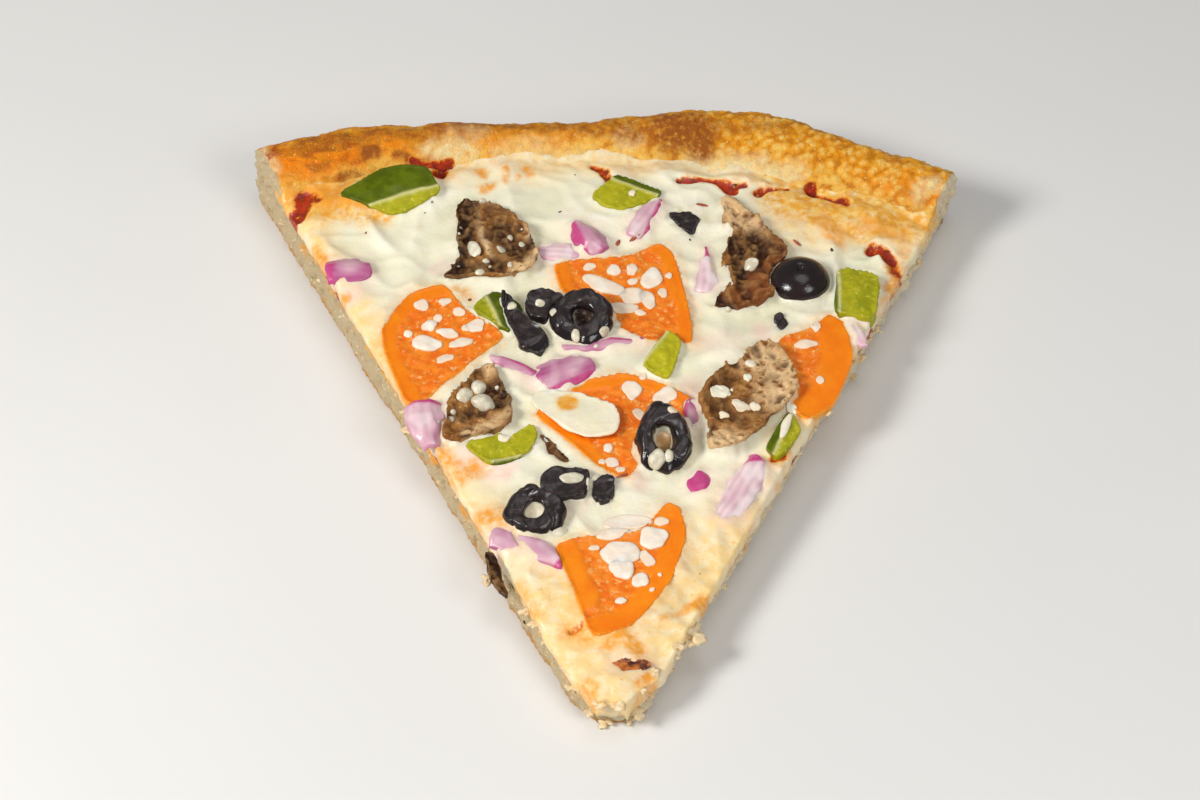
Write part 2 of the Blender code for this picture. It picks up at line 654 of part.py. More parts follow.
def leaf(length, widths, bend, cup, arch, thickness):
    """A thin curved leaf: a grid drawn to the widths, bent, cupped and given its thickness."""
    bm = bmesh.new()
    bmesh.ops.create_grid(bm, x_segments=7, y_segments=3, size=1.0)
    for vert in bm.verts:
        along = vert.co.x
        side = vert.co.y
        width = spline(widths, (along + 1) / 2) * MM
        tuck = 1.0 - 0.10 * along ** 4
        x = along * length / 2 * MM * (1.0 - 0.06 * side * side)
        y = side * width / 2 * tuck + bend * MM * (along * along - 0.5)
        z = cup * MM * (0.5 - side * side) - arch * MM * along * along
        vert.co = Vector((x, y, z))
    made = bmesh.ops.extrude_face_region(bm, geom=bm.faces[:], use_keep_orig=True)
    upper = [item for item in made["geom"] if isinstance(item, bmesh.types.BMVert)]
    bmesh.ops.translate(bm, verts=upper, vec=(0, 0, thickness))
    return bm


def ring(outer, hole, thickness, start, sweep):
    """A slice of a pitted olive: a rounded section turned about the pit's axis."""
    section = ((outer * 0.86, 0.0), (outer, thickness * 0.35), (outer * 0.97, thickness * 0.72),
               (outer * 0.80, thickness), (hole * 1.15, thickness * 0.92), (hole, thickness * 0.5),
               (hole * 1.1, 0.0))
    bm = bmesh.new()
    verts = [bm.verts.new((r * MM, 0.0, z * MM)) for r, z in section]
    face = bm.faces.new(verts)
    bmesh.ops.rotate(bm, verts=verts, cent=(0, 0, 0), matrix=Matrix.Rotation(math.radians(start), 3, "Z"))
    full = sweep >= 360
    steps = round(18 * sweep / 360)
    bmesh.ops.spin(bm, geom=[face] if not full else list(face.edges), cent=(0, 0, 0), axis=(0, 0, 1),
                   angle=math.radians(sweep), steps=steps, use_merge=full)
    if full:
        bmesh.ops.delete(bm, geom=[face], context="FACES_ONLY")
    bmesh.ops.remove_doubles(bm, verts=bm.verts, dist=0.01 * MM)
    return bm


def olive_cap():
    """The rounded end of an olive with the small hollow of its stalk."""
    bm = bmesh.new()
    bmesh.ops.create_uvsphere(bm, u_segments=16, v_segments=10, radius=1.0)
    for vert in bm.verts:
        flat = vert.co.xy.length
        up = vert.co.z
        hollow = 0.16 * math.exp(-(flat / 0.16) ** 2) if up > 0 else 0.0
        vert.co.x *= OLIVE_CAP_RADIUS
        vert.co.y *= OLIVE_CAP_RADIUS
        vert.co.z = (max(up, -0.42) + 0.42) / 1.42 * OLIVE_CAP_HEIGHT - hollow * OLIVE_CAP_HEIGHT
    merge_flat(bm)
    return bm


def place(bm, at, sink, heading=0.0, tilt_x=0.0, tilt_y=0.0):
    """Turn, tilt and set a piece over its place on the cheese."""
    turn = Matrix.Rotation(math.radians(tilt_x), 4, "X") @ Matrix.Rotation(math.radians(tilt_y), 4, "Y")
    turn = turn @ Matrix.Rotation(math.radians(heading), 4, "Z")
    slope = math.atan((DOUGH_AT_FOOT - DOUGH_AT_TIP) / FOOT_RADIUS)
    turn = Matrix.Rotation(slope, 4, "X") @ turn
    bmesh.ops.transform(bm, matrix=turn, verts=bm.verts)
    x, y = at[0] * MM, at[1] * MM
    low = min(vert.co.z - slope * vert.co.y for vert in bm.verts)
    bmesh.ops.translate(bm, verts=bm.verts, vec=(x, y, cheese_floor(x, y) + sink - low))


def make_toppings(collection, cutters, dough):
    """Every topping, from the lowest up: each shortens what it covers."""
    placed = []

    def put(name, kind, bm, rests_on=()):
        piece = add_piece(collection, name, kind, bm)
        settle(piece, rests_on)
        for lower in placed:
            if lower not in rests_on and covers(piece, lower):
                trim(lower, piece, cutters)
        placed.append(piece)
        return piece

    def put_onions(names):
        for name in names:
            at, length, widths, heading, bend, cup, arch = ONIONS[name]
            bm = leaf(length, widths, bend, cup, arch, ONION_THICK)
            place(bm, at, ONION_SINK, heading=heading)
            put(name, "onion", bm)

    def put_scraps(names):
        for name in names:
            at, points, thickness = OLIVE_SCRAPS[name]
            bm = chip(points, thickness * MM, 0.7 * MM)
            place(bm, at, OLIVE_SINK)
            put(name, "olive", bm)

    put_onions(UNDER_TOMATO)
    tomatoes = {}
    for name, (at, points) in TOMATOES.items():
        bm = chip(points, TOMATO_THICK, 0.7 * MM, dish=0.3 * MM)
        place(bm, at, TOMATO_SINK)
        tomatoes[name] = put(name, "tomato", bm)
    pool = chip(POOL_OUTLINE, POOL_THICK, 0.9 * MM, crown=0.3 * MM)
    place(pool, POOL_AT, TOMATO_SINK)
    put("cheese_pool", "cheese", pool, rests_on=(tomatoes["tomato_middle"],))
    put_onions(name for name in ONIONS if name not in UNDER_TOMATO)
    for name, (at, points, thickness, crown, tilt) in PEPPERS.items():
        bm = chip(points, thickness * MM, 0.6 * MM, crown=crown * MM)
        place(bm, at, PEPPER_SINK, tilt_x=tilt)
        put(name, "pepper", bm, rests_on=(dough,))
    for name, (at, points, thickness, tilt_x, tilt_y, trough) in MUSHROOMS.items():
        bm = chip(points, thickness * MM, 0.6 * MM, trough=trough * MM)
        place(bm, at, MUSHROOM_SINK, tilt_x=tilt_x, tilt_y=tilt_y)
        put(name, "mushroom", bm)
    crisp = chip(CRISP_OUTLINE, ONION_THICK, 0.5 * MM)
    place(crisp, CRISP_AT, ONION_SINK)
    put("onion_crisp", "onion", crisp)
    put_scraps(UNDER_RING)
    for name, (at, outer, hole, thickness, start, sweep, tilt_x, tilt_y, share) in OLIVE_RINGS.items():
        bm = ring(outer, hole, thickness, start, sweep)
        bmesh.ops.scale(bm, vec=(1.0, share, 1.0), verts=bm.verts)
        place(bm, at, OLIVE_SINK, tilt_x=tilt_x, tilt_y=tilt_y)
        put(name, "olive", bm)
    put_scraps(name for name in OLIVE_SCRAPS if name not in UNDER_RING)
    cap = olive_cap()
    place(cap, OLIVE_CAP_AT, OLIVE_SINK)
    put("olive_cap", "olive", cap)
    return placed


def centre_on_base(pieces):
    """Move the origin from the pizza's middle to the middle of the slice's underside."""
    corners = [vert.co for piece in pieces for vert in piece.data.vertices]
    middle_x = (min(c.x for c in corners) + max(c.x for c in corners)) / 2
    middle_y = (min(c.y for c in corners) + max(c.y for c in corners)) / 2
    shift = Matrix.Translation((-middle_x, -middle_y, 0.0))
    for piece in pieces:
        piece.data.transform(shift)


def main():
    clear_scene()
    collection = bpy.data.collections.new("pizza_slice")
    cutters = bpy.data.collections.new("cutters")
    bpy.context.scene.collection.children.link(collection)
    bpy.context.scene.collection.children.link(cutters)
    dough = add_piece(collection, "dough", "dough", make_dough())
    sauce = add_piece(collection, "sauce", "sauce", make_sauce())
    toppings = make_toppings(collection, cutters, dough)
    cheese = add_piece(collection, "cheese", "cheese", make_cheese(toppings))
    centre_on_base([dough, sauce, cheese] + toppings)


main()
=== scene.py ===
"""Looks of a baked slice of vegetable pizza: its crust, melted cheese and every topping.

Laid out as an add-on and run as a script. Lengths are metres. A place named seen is a pixel of the
1200 x 800 photograph, and a plan place is millimetres from the middle of the whole pizza.
"""
import json
import math
import random

import bmesh
import bpy
import numpy as np
from mathutils import Matrix, Vector, noise
from mathutils.bvhtree import BVHTree
from mathutils.kdtree import KDTree

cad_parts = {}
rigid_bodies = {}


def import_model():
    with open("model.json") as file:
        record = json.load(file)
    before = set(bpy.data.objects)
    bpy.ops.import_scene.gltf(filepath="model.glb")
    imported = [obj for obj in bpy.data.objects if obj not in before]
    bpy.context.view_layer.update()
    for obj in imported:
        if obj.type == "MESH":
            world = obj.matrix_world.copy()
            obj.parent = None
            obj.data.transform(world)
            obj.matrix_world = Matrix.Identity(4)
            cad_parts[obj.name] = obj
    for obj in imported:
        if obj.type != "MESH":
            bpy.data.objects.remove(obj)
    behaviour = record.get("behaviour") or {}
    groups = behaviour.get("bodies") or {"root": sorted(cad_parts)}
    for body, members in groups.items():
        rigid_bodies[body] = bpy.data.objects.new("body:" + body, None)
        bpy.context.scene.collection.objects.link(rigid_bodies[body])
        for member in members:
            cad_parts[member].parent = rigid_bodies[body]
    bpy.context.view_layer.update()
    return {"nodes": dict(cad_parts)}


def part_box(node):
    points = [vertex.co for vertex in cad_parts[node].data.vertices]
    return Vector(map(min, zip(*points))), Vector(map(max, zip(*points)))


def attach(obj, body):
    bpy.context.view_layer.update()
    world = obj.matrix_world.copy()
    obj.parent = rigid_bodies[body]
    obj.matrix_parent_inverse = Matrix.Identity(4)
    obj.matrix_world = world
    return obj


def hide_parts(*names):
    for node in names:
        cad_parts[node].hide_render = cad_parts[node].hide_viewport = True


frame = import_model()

bl_info = {
    "name": "Pizza Slice Looks",
    "version": (1, 0, 0),
    "blender": (4, 5, 0),
    "location": "View3D > Sidebar > Pizza Slice",
    "description": "Dresses the solids of a pizza slice with baked crust, cheese and toppings",
    "category": "Object",
}

MM = 0.001
BODY = "root"
IMAGE_WIDTH = 1200
IMAGE_HEIGHT = 800
SENSOR = 36.0

# What the camera looks at, from the apex of the slice, and where a sight line that misses it ends
AIM_ASIDE = -1.9 * MM
AIM_ALONG = 101.5 * MM
AIM_HEIGHT = 4.0 * MM
MISSED_HEIGHT = 8.0 * MM

# Soft square lights: place in metres, width and colour
KEY_LIGHT = ((-0.60, -0.30, 0.58), 0.26, (1.0, 0.985, 0.96))
FILL_LIGHT = ((0.46, -0.50, 0.55), 0.34, (1.0, 1.0, 1.0))
TOP_LIGHT = ((0.10, 0.10, 0.90), 0.45, (1.0, 1.0, 1.0))
TOP_SHARE = 0.45
SKY_COLOUR = (1.0, 0.99, 0.97, 1.0)
FLOOR_HALF_WIDTH = 4.0
FLOOR_DROP = 0.05 * MM

# Plan of the slice, as its solids are drawn: the apex is the middle of the whole pizza
HALF_ANGLE = math.radians(25.3)
TIP_RADIUS = 12.5 * MM
FOOT_RADIUS = 180.0 * MM
FOOT_SKEW = -4.0 * MM
HALF_WIDTH = 96 * MM
TIP_SHARE = 0.45
TIP_LENGTH = 6.0 * MM
LEANS = ((-1, -0.6 * MM), (1, 2.4 * MM))
OLIVE_CAP_AT = Vector((45.6, 138.4)) * MM
CAP_LOW, CAP_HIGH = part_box("olive_cap")
APEX = ((CAP_LOW + CAP_HIGH) / 2).xy - OLIVE_CAP_AT

# Heights of the layers above the table
FLOOR_AT_TIP = 5.0 * MM
FLOOR_RISE = 4.6 * MM
SAUCE_GAP = 0.3 * MM
SAUCE_THICK = 1.0 * MM
CHEESE_LIFT = 1.6 * MM
CHEESE_THICK = 3.4 * MM
LIP_WIDTH = 2.5 * MM

# Sight straight down on the slice, from above everything on it
ABOVE = 100.0 * MM
DOWN = Vector((0, 0, -1))

# Seeds of the noise and of the loose crumbs, and how many crumbs there are
NOISE_SEED = 11
CRUMB_SEED = 12
LOOSE_CRUMBS = 80

# Rounded end of the olive: where it is cut below its middle, and the hollow of its stalk
CAP_CUT = 0.42
CAP_HOLLOW = 0.16
CAP_HOLLOW_WIDTH = 0.15

# How a drop differs from the size at which it is seen: depth and height of a puddle, height of a bead
PUDDLE_DEPTH = 1.15
PUDDLE_HEIGHT = 0.48
BEAD_HEIGHT = 0.75

TOPPING_KINDS = ("tomato", "pepper", "mushroom", "onion", "olive")


def named_nodes(kind):
    """The solids of one kind of food, in a fixed order."""
    return sorted(name for name in frame["nodes"] if name.startswith(kind + "_"))


# Places seen in the photograph: each mark is a line of pixels, a radius in millimetres and a strength
SAUCE_MARKS = (
    (((304, 195), (303, 205), (297, 216)), 2.1, 1.0),
    (((312, 193), (318, 200)), 1.2, 0.6),
    (((294, 222), (291, 240)), 0.9, 0.7),
    (((412, 160), (424, 164), (438, 167), (452, 166)), 0.8, 0.85),
    (((441, 167), (438, 175)), 1.5, 1.0),
    (((594, 167), (603, 172), (612, 181)), 1.0, 0.8),
    (((679, 180), (700, 178), (716, 181), (731, 187), (744, 186)), 0.8, 0.9),
    (((724, 184), (732, 190)), 1.4, 1.0),
    (((757, 193), (765, 189), (786, 186)), 0.8, 0.9),
    (((758, 192), (763, 189)), 1.2, 0.9),
    (((806, 188), (818, 192), (832, 197), (845, 201)), 0.7, 0.75),
    (((810, 188), (814, 191)), 1.2, 0.9),
    (((840, 199), (846, 203)), 1.1, 0.8),
    (((874, 249), (884, 252), (890, 259)), 1.7, 0.95),
    (((893, 262), (896, 276)), 1.3, 0.5),
    (((783, 452), (774, 460)), 1.2, 0.6),
    (((573, 634), (580, 631)), 0.9, 0.45),
)
TOASTED_MARKS = (
    (((786, 198), (830, 206), (870, 212), (905, 220), (930, 224)), 6.5, 1.0),
    (((830, 220), (860, 236), (880, 232)), 2.4, 0.8),
    (((800, 200), (815, 225)), 2.2, 0.8),
    (((292, 196), (320, 204), (352, 208), (372, 208)), 5.0, 1.0),
    (((300, 214), (330, 216), (352, 214)), 2.6, 0.9),
    (((470, 168), (485, 172)), 1.2, 0.5),
    (((690, 176), (740, 184)), 1.6, 0.5),
)
OIL_MARKS = (
    (((290, 165), (300, 190), (330, 200)), 5.0, 0.9),
    (((316, 262), (326, 280)), 1.5, 0.8),
    (((345, 325),), 1.4, 0.9),
    (((435, 297),), 1.6, 0.5),
    (((460, 297), (470, 304)), 1.6, 0.6),
    (((440, 470), (462, 478), (480, 474)), 2.4, 0.7),
    (((485, 520), (505, 517)), 3.0, 0.7),
    (((484, 189), (491, 187)), 1.3, 1.0),
    (((482, 170), (483, 178)), 0.9, 0.8),
    (((505, 170), (507, 184)), 0.8, 0.7),
    (((527, 166), (531, 176)), 1.1, 0.8),
    (((519, 178),), 0.8, 0.6),
    (((520, 600), (535, 615)), 1.8, 0.5),
    (((571, 634), (592, 640)), 2.4, 0.7),
    (((610, 650), (622, 640), (640, 655)), 2.0, 0.8),
    (((585, 690), (592, 700)), 2.0, 0.7),
    (((640, 686), (650, 680)), 1.2, 0.8),
    (((690, 610), (706, 600)), 1.3, 0.9),
    (((660, 625), (690, 612)), 0.9, 0.6),
    (((822, 222), (838, 240)), 2.2, 0.7),
    (((868, 226), (900, 236)), 2.2, 0.6),
    (((905, 250), (890, 300), (880, 330)), 1.6, 0.5),
    (((340, 205), (372, 214)), 1.6, 0.8),
    (((778, 470), (784, 458)), 1.6, 0.7),
    (((857, 300), (880, 330)), 2.2, 0.4),
    (((892, 262), (897, 280), (891, 300)), 2.0, 1.0),
)
WARM_MARKS = (
    (((300, 215), (345, 330), (420, 470), (500, 600), (590, 700)), 6.0, 0.75),
    (((640, 680), (700, 590), (740, 520)), 8.0, 0.8),
    (((560, 600), (600, 690)), 12.0, 0.9),
    (((470, 500), (520, 560)), 6.0, 0.6),
    (((800, 230), (860, 225), (900, 232)), 7.0, 0.7),
    (((760, 470), (850, 350)), 4.0, 0.6),
    (((455, 182), (560, 172), (640, 168)), 3.0, 0.3),
)
PINK_MARKS = (
    (((352, 298),), 3.0, 0.8),
    (((440, 270),), 2.6, 0.6),
    (((545, 262), (575, 258)), 3.4, 0.5),
    (((640, 340), (690, 300)), 4.0, 0.5),
    (((470, 462), (500, 478)), 3.4, 0.8),
    (((520, 372), (535, 388)), 2.2, 0.7),
    (((638, 488),), 2.6, 0.6),
    (((552, 500), (575, 510)), 3.0, 0.5),
    (((760, 330), (766, 340)), 2.0, 0.7),
    (((700, 350), (730, 340)), 3.0, 0.4),
    (((865, 335), (855, 350)), 1.8, 0.6),
    (((700, 400), (692, 388)), 2.6, 0.6),
)
CRUST_BROWN = (
    (((665, 126), (690, 130), (700, 136)), 4.4, 1.0),
    (((440, 122), (462, 124)), 3.0, 0.7),
    (((364, 150), (378, 151)), 1.4, 1.0),
    (((300, 143), (400, 132), (440, 128)), 2.0, 0.6),
    (((470, 124), (600, 126), (660, 125)), 2.4, 0.6),
    (((700, 124), (780, 124), (830, 132), (900, 160)), 1.6, 0.4),
    (((340, 172), (356, 168), (372, 173)), 0.9, 0.8),
    (((395, 155), (412, 158), (425, 163)), 0.7, 0.8),
    (((322, 192), (335, 183), (350, 188), (362, 172)), 0.9, 0.7),
    (((310, 170), (322, 162)), 0.9, 0.5),
)
CRUST_PALE = (
    (((435, 150), (450, 146), (470, 152)), 2.6, 0.8),
    (((500, 156), (560, 160), (600, 163)), 2.2, 0.5),
    (((625, 162), (650, 166)), 2.4, 0.7),
    (((700, 164), (720, 166), (745, 170), (790, 174)), 3.0, 0.9),
    (((620, 136), (634, 138)), 1.8, 0.5),
    (((455, 128), (480, 132)), 1.8, 0.4),
    (((925, 188), (940, 182)), 2.0, 0.7),
    (((262, 165), (275, 168)), 2.0, 0.7),
)
VEIN_MARKS = (
    (((268, 172), (300, 186), (345, 186), (380, 170)), 9.0, 1.0),
    (((320, 160), (360, 150), (420, 158)), 5.0, 0.8),
)
CRUST_ORANGE = (
    (((275, 172), (300, 180), (330, 188), (350, 180)), 8.0, 1.0),
    (((310, 160), (360, 165), (400, 160)), 5.0, 0.8),
    (((800, 205), (850, 205), (900, 212), (930, 215)), 6.0, 0.9),
    (((470, 150), (560, 146), (640, 152)), 3.0, 0.5),
    (((660, 170), (760, 176)), 3.0, 0.6),
)

# Dark painted on the cheese in an olive ring's hollow: the olive's own dark floor and painted shade in the
# deep hollow
HOLE_MARKS = (
    (((587, 312), (592, 316)), 3.6, 1.0),
)
POOL_SPOT = (
    (((567, 399), (567, 402)), 2.0, 1.0),
)

# Smooth outer flesh of each tomato slice: lines in plan and the width of the band, millimetres
TOMATO_SKINS = {
    "tomato_left": ((((-38.8, 138.1), (-47.3, 134.6), (-53.3, 123.6), (-52.8, 117.1), (-50.8, 110.1),
                      (-46.8, 98.6)),), 3.6),
    "tomato_back": ((((12.4, 152.0), (15.9, 148.0), (19.4, 129.0), (19.9, 118.0)),
                     ((-13.1, 144.0), (-11.1, 135.0), (-4.7, 127.8))), 3.4),
    "tomato_middle": ((((-6.2, 105.9), (3.8, 108.4), (12.8, 104.9), (20.8, 98.9)),
                       ((-17.7, 95.4), (-7.2, 84.4), (-2.7, 78.4))), 3.0),
    "tomato_right": ((((52.9, 128.2), (55.9, 126.7), (57.4, 112.7), (51.9, 97.7), (45.4, 92.7)),), 7.0),
    "tomato_tip": ((((13.2, 67.8), (16.2, 65.8), (17.7, 57.8), (13.7, 43.3), (5.2, 30.8), (-3.8, 27.8)),
                    ((-7.3, 39.8), (-12.3, 54.8))), 5.0),
}

# Skin of each pepper chunk: heading of the side that it is on and how far from the middle it
# starts, and how yellow the flesh is
PEPPER_SKINS = {
    "pepper_rim": (110.0, -3.4, 0.5),
    "pepper_back": (62.0, 2.2, 0.55),
    "pepper_right": (180.0, 4.2, 0.35),
    "pepper_left": (20.0, -1.0, 0.1),
    "pepper_middle": (150.0, 2.6, 0.9),
    "pepper_crescent": (-75.0, 5.0, 0.5),
    "pepper_edge": (160.0, 0.0, 0.15),
}

# Colour of each onion piece: how deep its purple is, and the heading of its dark edge and how far
# from the middle that edge starts
ONION_TINTS = {
    "onion_back": (0.30, -20.0, 1.4),
    "onion_fold": (0.55, 200.0, 1.6),
    "onion_pale": (0.22, 0.0, 9.0),
    "onion_spike": (0.12, 90.0, 5.4),
    "onion_centre": (0.75, -60.0, 3.0),
    "onion_band": (0.60, 90.0, 0.8),
    "onion_streak": (0.70, 60.0, 0.4),
    "onion_left_edge": (0.42, 90.0, 5.2),
    "onion_far_left": (0.95, 180.0, 3.4),
    "onion_by_mushroom": (0.70, 180.0, 1.0),
    "onion_front": (0.72, 180.0, 9.0),
    "onion_front_strip": (0.62, -47.0, 5.5),
    "onion_right_edge": (0.10, 100.0, 7.0),
    "onion_spot": (1.0, 0.0, -9.0),
    "onion_by_tomato": (0.12, 90.0, 9.0),
    "onion_crisp": (0.2, 0.0, 9.0),
}

# How much wider, deeper and taller an olive piece has warped than its solid
OLIVE_SHAPES = {
    "olive_ring_middle": (1.0, 1.0, 1.15),
    "olive_ring_back": (1.02, 1.0, 1.12),
    "olive_ring_front": (1.05, 1.0, 1.1),
    "olive_half_back": (1.30, 1.18, 1.1),
    "olive_wedge_back": (1.14, 1.0, 1.15),
    "olive_comma": (1.15, 1.1, 1.1),
    "olive_half_front": (1.08, 1.05, 1.1),
}

MUSHROOM_DARK = (
    (((466, 200), (465, 228), (463, 252), (462, 270)), 2.9, 1.0),
    (((462, 272), (448, 273), (432, 278)), 1.5, 1.0),
    (((500, 228), (507, 246), (520, 248)), 3.0, 0.95),
    (((470, 270), (500, 262)), 2.0, 0.9),
    (((488, 204), (505, 212)), 1.6, 0.6),
    (((733, 243), (740, 252)), 2.4, 1.0),
    (((753, 238), (761, 251)), 2.6, 1.0),
    (((768, 242), (781, 252)), 1.8, 0.6),
    (((738, 262), (741, 276)), 1.5, 0.95),
    (((742, 284), (748, 300)), 1.4, 0.7),
    (((711, 311), (730, 315)), 1.8, 0.9),
    (((494, 390), (500, 400)), 3.0, 1.0),
    (((455, 416), (478, 412)), 1.8, 0.8),
    (((470, 378), (478, 372)), 1.4, 0.5),
    (((728, 378), (716, 398), (722, 412), (742, 420)), 2.2, 0.65),
    (((745, 405), (762, 412)), 1.6, 0.5),
    (((480, 550), (500, 575), (510, 597)), 9.0, 1.0),
    (((549, 438), (592, 466)), 9.0, 0.75),
)
MUSHROOM_RED = (
    (((748, 298), (766, 276), (780, 256)), 4.6, 1.0),
    (((716, 306), (738, 305)), 2.0, 0.7),
    (((782, 252),), 2.2, 0.7),
    (((570, 445), (592, 466)), 9.0, 0.8),
    (((700, 388), (712, 380)), 2.0, 0.7),
)
MUSHROOM_PALE = (
    (((472, 207), (482, 232), (491, 256)), 0.9, 1.0),
    (((518, 214), (536, 234), (538, 255), (518, 272)), 2.3, 1.0),
    (((725, 203), (744, 220), (752, 230)), 3.4, 0.9),
    (((765, 360), (785, 375), (780, 398)), 5.5, 0.9),
    (((712, 436), (735, 440)), 3.4, 0.9),
    (((488, 372), (508, 385), (510, 410), (495, 424), (468, 432)), 1.7, 0.8),
)

# How far cheese creeps over the edge of each kind of topping, in millimetres, and how far up its side
SMEARS = {
    "tomato": (1.1, 1.0), "pepper": (0.5, 0.4), "mushroom": (0.7, 0.35), "onion": (1.8, 0.9),
    "olive": (0.3, 0.15),
}

# Cheese drops: seen place, width and depth in millimetres, height in millimetres, turn in degrees
TOMATO_DROPS = (
    (429, 345, 7.6, 4.4, 1.1, -12), (429, 326, 3.4, 3.2, 0.8, 0), (447, 333, 5.2, 2.4, 0.6, -8),
    (422, 306, 3.2, 3.0, 0.5, 20), (408, 334, 2.0, 2.0, 0.7, 0), (475, 327, 4.6, 3.8, 0.6, 35),
    (461, 343, 6.0, 2.8, 0.5, 12), (445, 358, 4.4, 2.2, 0.4, 30), (459, 312, 2.6, 2.6, 0.4, 0),
    (445, 302, 3.2, 2.2, 0.4, 30), (438, 318, 2.2, 1.8, 0.4, 0), (466, 328, 2.2, 2.0, 0.4, 0),
    (652, 278, 5.0, 5.6, 0.9, 0), (614, 270, 3.2, 3.4, 0.6, 0), (632, 270, 2.6, 3.8, 0.6, 10),
    (607, 287, 11.5, 4.0, 0.7, -24), (648, 301, 3.4, 5.4, 0.5, 30), (632, 296, 5.6, 4.6, 0.5, 15),
    (663, 293, 2.4, 2.6, 0.4, 0), (633, 282, 2.4, 1.8, 0.4, 0), (640, 313, 3.0, 1.6, 0.4, -20),
    (590, 267, 3.0, 2.0, 0.4, 0), (669, 276, 1.6, 1.6, 0.5, 0), (622, 308, 8.0, 3.0, 0.4, 5),
    (632, 390, 4.4, 5.0, 0.8, 10), (665, 396, 5.6, 4.6, 0.8, -10), (608, 448, 2.2, 2.6, 0.7, 0),
    (612, 463, 3.0, 2.4, 0.6, 0), (643, 377, 1.8, 1.8, 0.4, 0), (640, 415, 2.2, 3.8, 0.4, 40),
    (620, 470, 2.2, 1.6, 0.5, 0), (602, 462, 1.6, 1.4, 0.5, 0), (673, 410, 2.0, 1.6, 0.4, 0),
    (816, 327, 2.4, 3.0, 0.5, 0), (806, 344, 5.4, 2.2, 0.3, 0), (820, 380, 1.8, 2.2, 0.4, 0),
    (655, 539, 6.4, 5.8, 1.2, 10), (618, 554, 8.6, 6.4, 1.3, -14), (622, 570, 5.6, 6.0, 1.3, 0),
    (640, 581, 3.8, 3.4, 0.9, 10), (621, 601, 2.8, 2.0, 0.8, 20), (647, 559, 2.8, 4.6, 0.5, 25),
    (628, 522, 10.0, 4.2, 0.8, 8), (612, 533, 7.0, 3.0, 0.6, 5), (594, 548, 2.4, 1.4, 0.4, 0),
    (662, 522, 3.0, 2.0, 0.4, 0), (652, 590, 1.2, 1.0, 0.4, 0), (660, 575, 1.0, 1.0, 0.4, 0),
)
CREAM_DROPS = (
    (505, 438, 3.0, 2.6, 0.6, 0), (632, 193, 1.6, 1.8, 0.5, 0),
    (786, 424, 2.0, 7.0, 0.6, -20), (792, 412, 2.2, 3.0, 0.6, 0),
    (719, 392, 4.4, 3.8, 0.9, 25), (747, 378, 2.0, 2.2, 0.8, 0), (751, 364, 2.6, 2.0, 0.5, -20),
    (740, 405, 3.2, 4.0, 0.4, 40), (755, 407, 2.0, 2.6, 0.5, 20), (724, 415, 2.6, 1.8, 0.5, 0),
    (729, 394, 0.9, 0.9, 0.4, 0), (732, 390, 0.8, 0.8, 0.4, 0),
)
GREY_BEADS = (
    (479, 388, 3.6, 4.4, 2.0, 0), (464, 397, 3.8, 4.6, 1.8, 0), (483, 403, 5.6, 4.4, 2.1, 0),
    (451, 420, 1.9, 2.0, 1.0, 0), (453, 412, 1.4, 1.6, 0.9, 0), (497, 388, 1.2, 1.2, 0.7, 0),
    (483, 201, 1.9, 1.5, 0.8, 0), (510, 238, 1.5, 1.9, 1.0, 0), (522, 245, 1.6, 1.8, 0.8, 0),
    (474, 250, 3.6, 5.8, 1.0, 10), (480, 272, 2.4, 1.8, 0.8, 10), (510, 265, 1.5, 1.9, 0.8, 0),
    (459, 234, 0.8, 1.0, 0.6, 0), (486, 261, 1.8, 1.4, 0.8, 0), (490, 267, 0.8, 0.9, 0.6, 0),
    (502, 250, 2.6, 2.2, 0.5, 0), (751, 265, 3.6, 3.4, 0.8, 0), (728, 309, 1.4, 1.6, 0.7, 0),
    (576, 336, 2.2, 3.2, 0.9, 0), (604, 332, 2.6, 3.0, 0.9, 20), (616, 324, 2.6, 2.6, 0.9, 0),
    (596, 346, 1.2, 1.0, 0.5, 0),
    (512, 306, 2.4, 2.0, 0.6, 40), (540, 303, 2.4, 2.0, 0.5, 0), (553, 312, 1.8, 2.4, 0.4, 0),
    (657, 459, 4.2, 4.8, 1.8, 0), (669, 456, 2.2, 3.2, 1.0, 0), (572, 478, 5.6, 3.0, 0.9, 8),
    (596, 478, 3.0, 2.0, 0.7, 0), (588, 484, 1.0, 3.2, 0.5, 10), (560, 532, 3.6, 2.4, 0.7, 20),
)
TAN_BEADS = (
    (664, 442, 4.8, 6.4, 1.6, 12),
)
SPECKS = ((425, 213), (366, 233), (735, 185), (757, 408), (560, 212), (525, 622), (700, 574), (690, 240),
          (832, 250), (575, 175), (432, 202), (470, 300), (630, 520))
RED_FLAKES = (((797, 243), 2.6, -35), ((702, 205), 3.0, 5), ((618, 243), 2.2, 60), ((634, 238), 3.0, 40),
              ((622, 476), 3.4, 35))

# Crumbs that stand out from the cuts: seen place and size in millimetres
EDGE_CRUMBS = (
    (690, 633, 5.0), (696, 648, 2.6), (678, 646, 2.0), (484, 585, 2.6), (513, 617, 2.8),
    (521, 628, 2.2), (394, 444, 2.6), (403, 432, 2.2), (572, 688, 2.2), (594, 722, 2.4), (606, 721, 3.0),
    (617, 723, 2.6), (590, 712, 2.0), (634, 712, 3.4), (629, 719, 2.6), (655, 672, 2.2), (642, 690, 1.8),
    (880, 330, 2.0), (862, 357, 2.6), (851, 377, 2.0), (827, 413, 1.8), (918, 262, 1.8), (800, 457, 1.6),
)


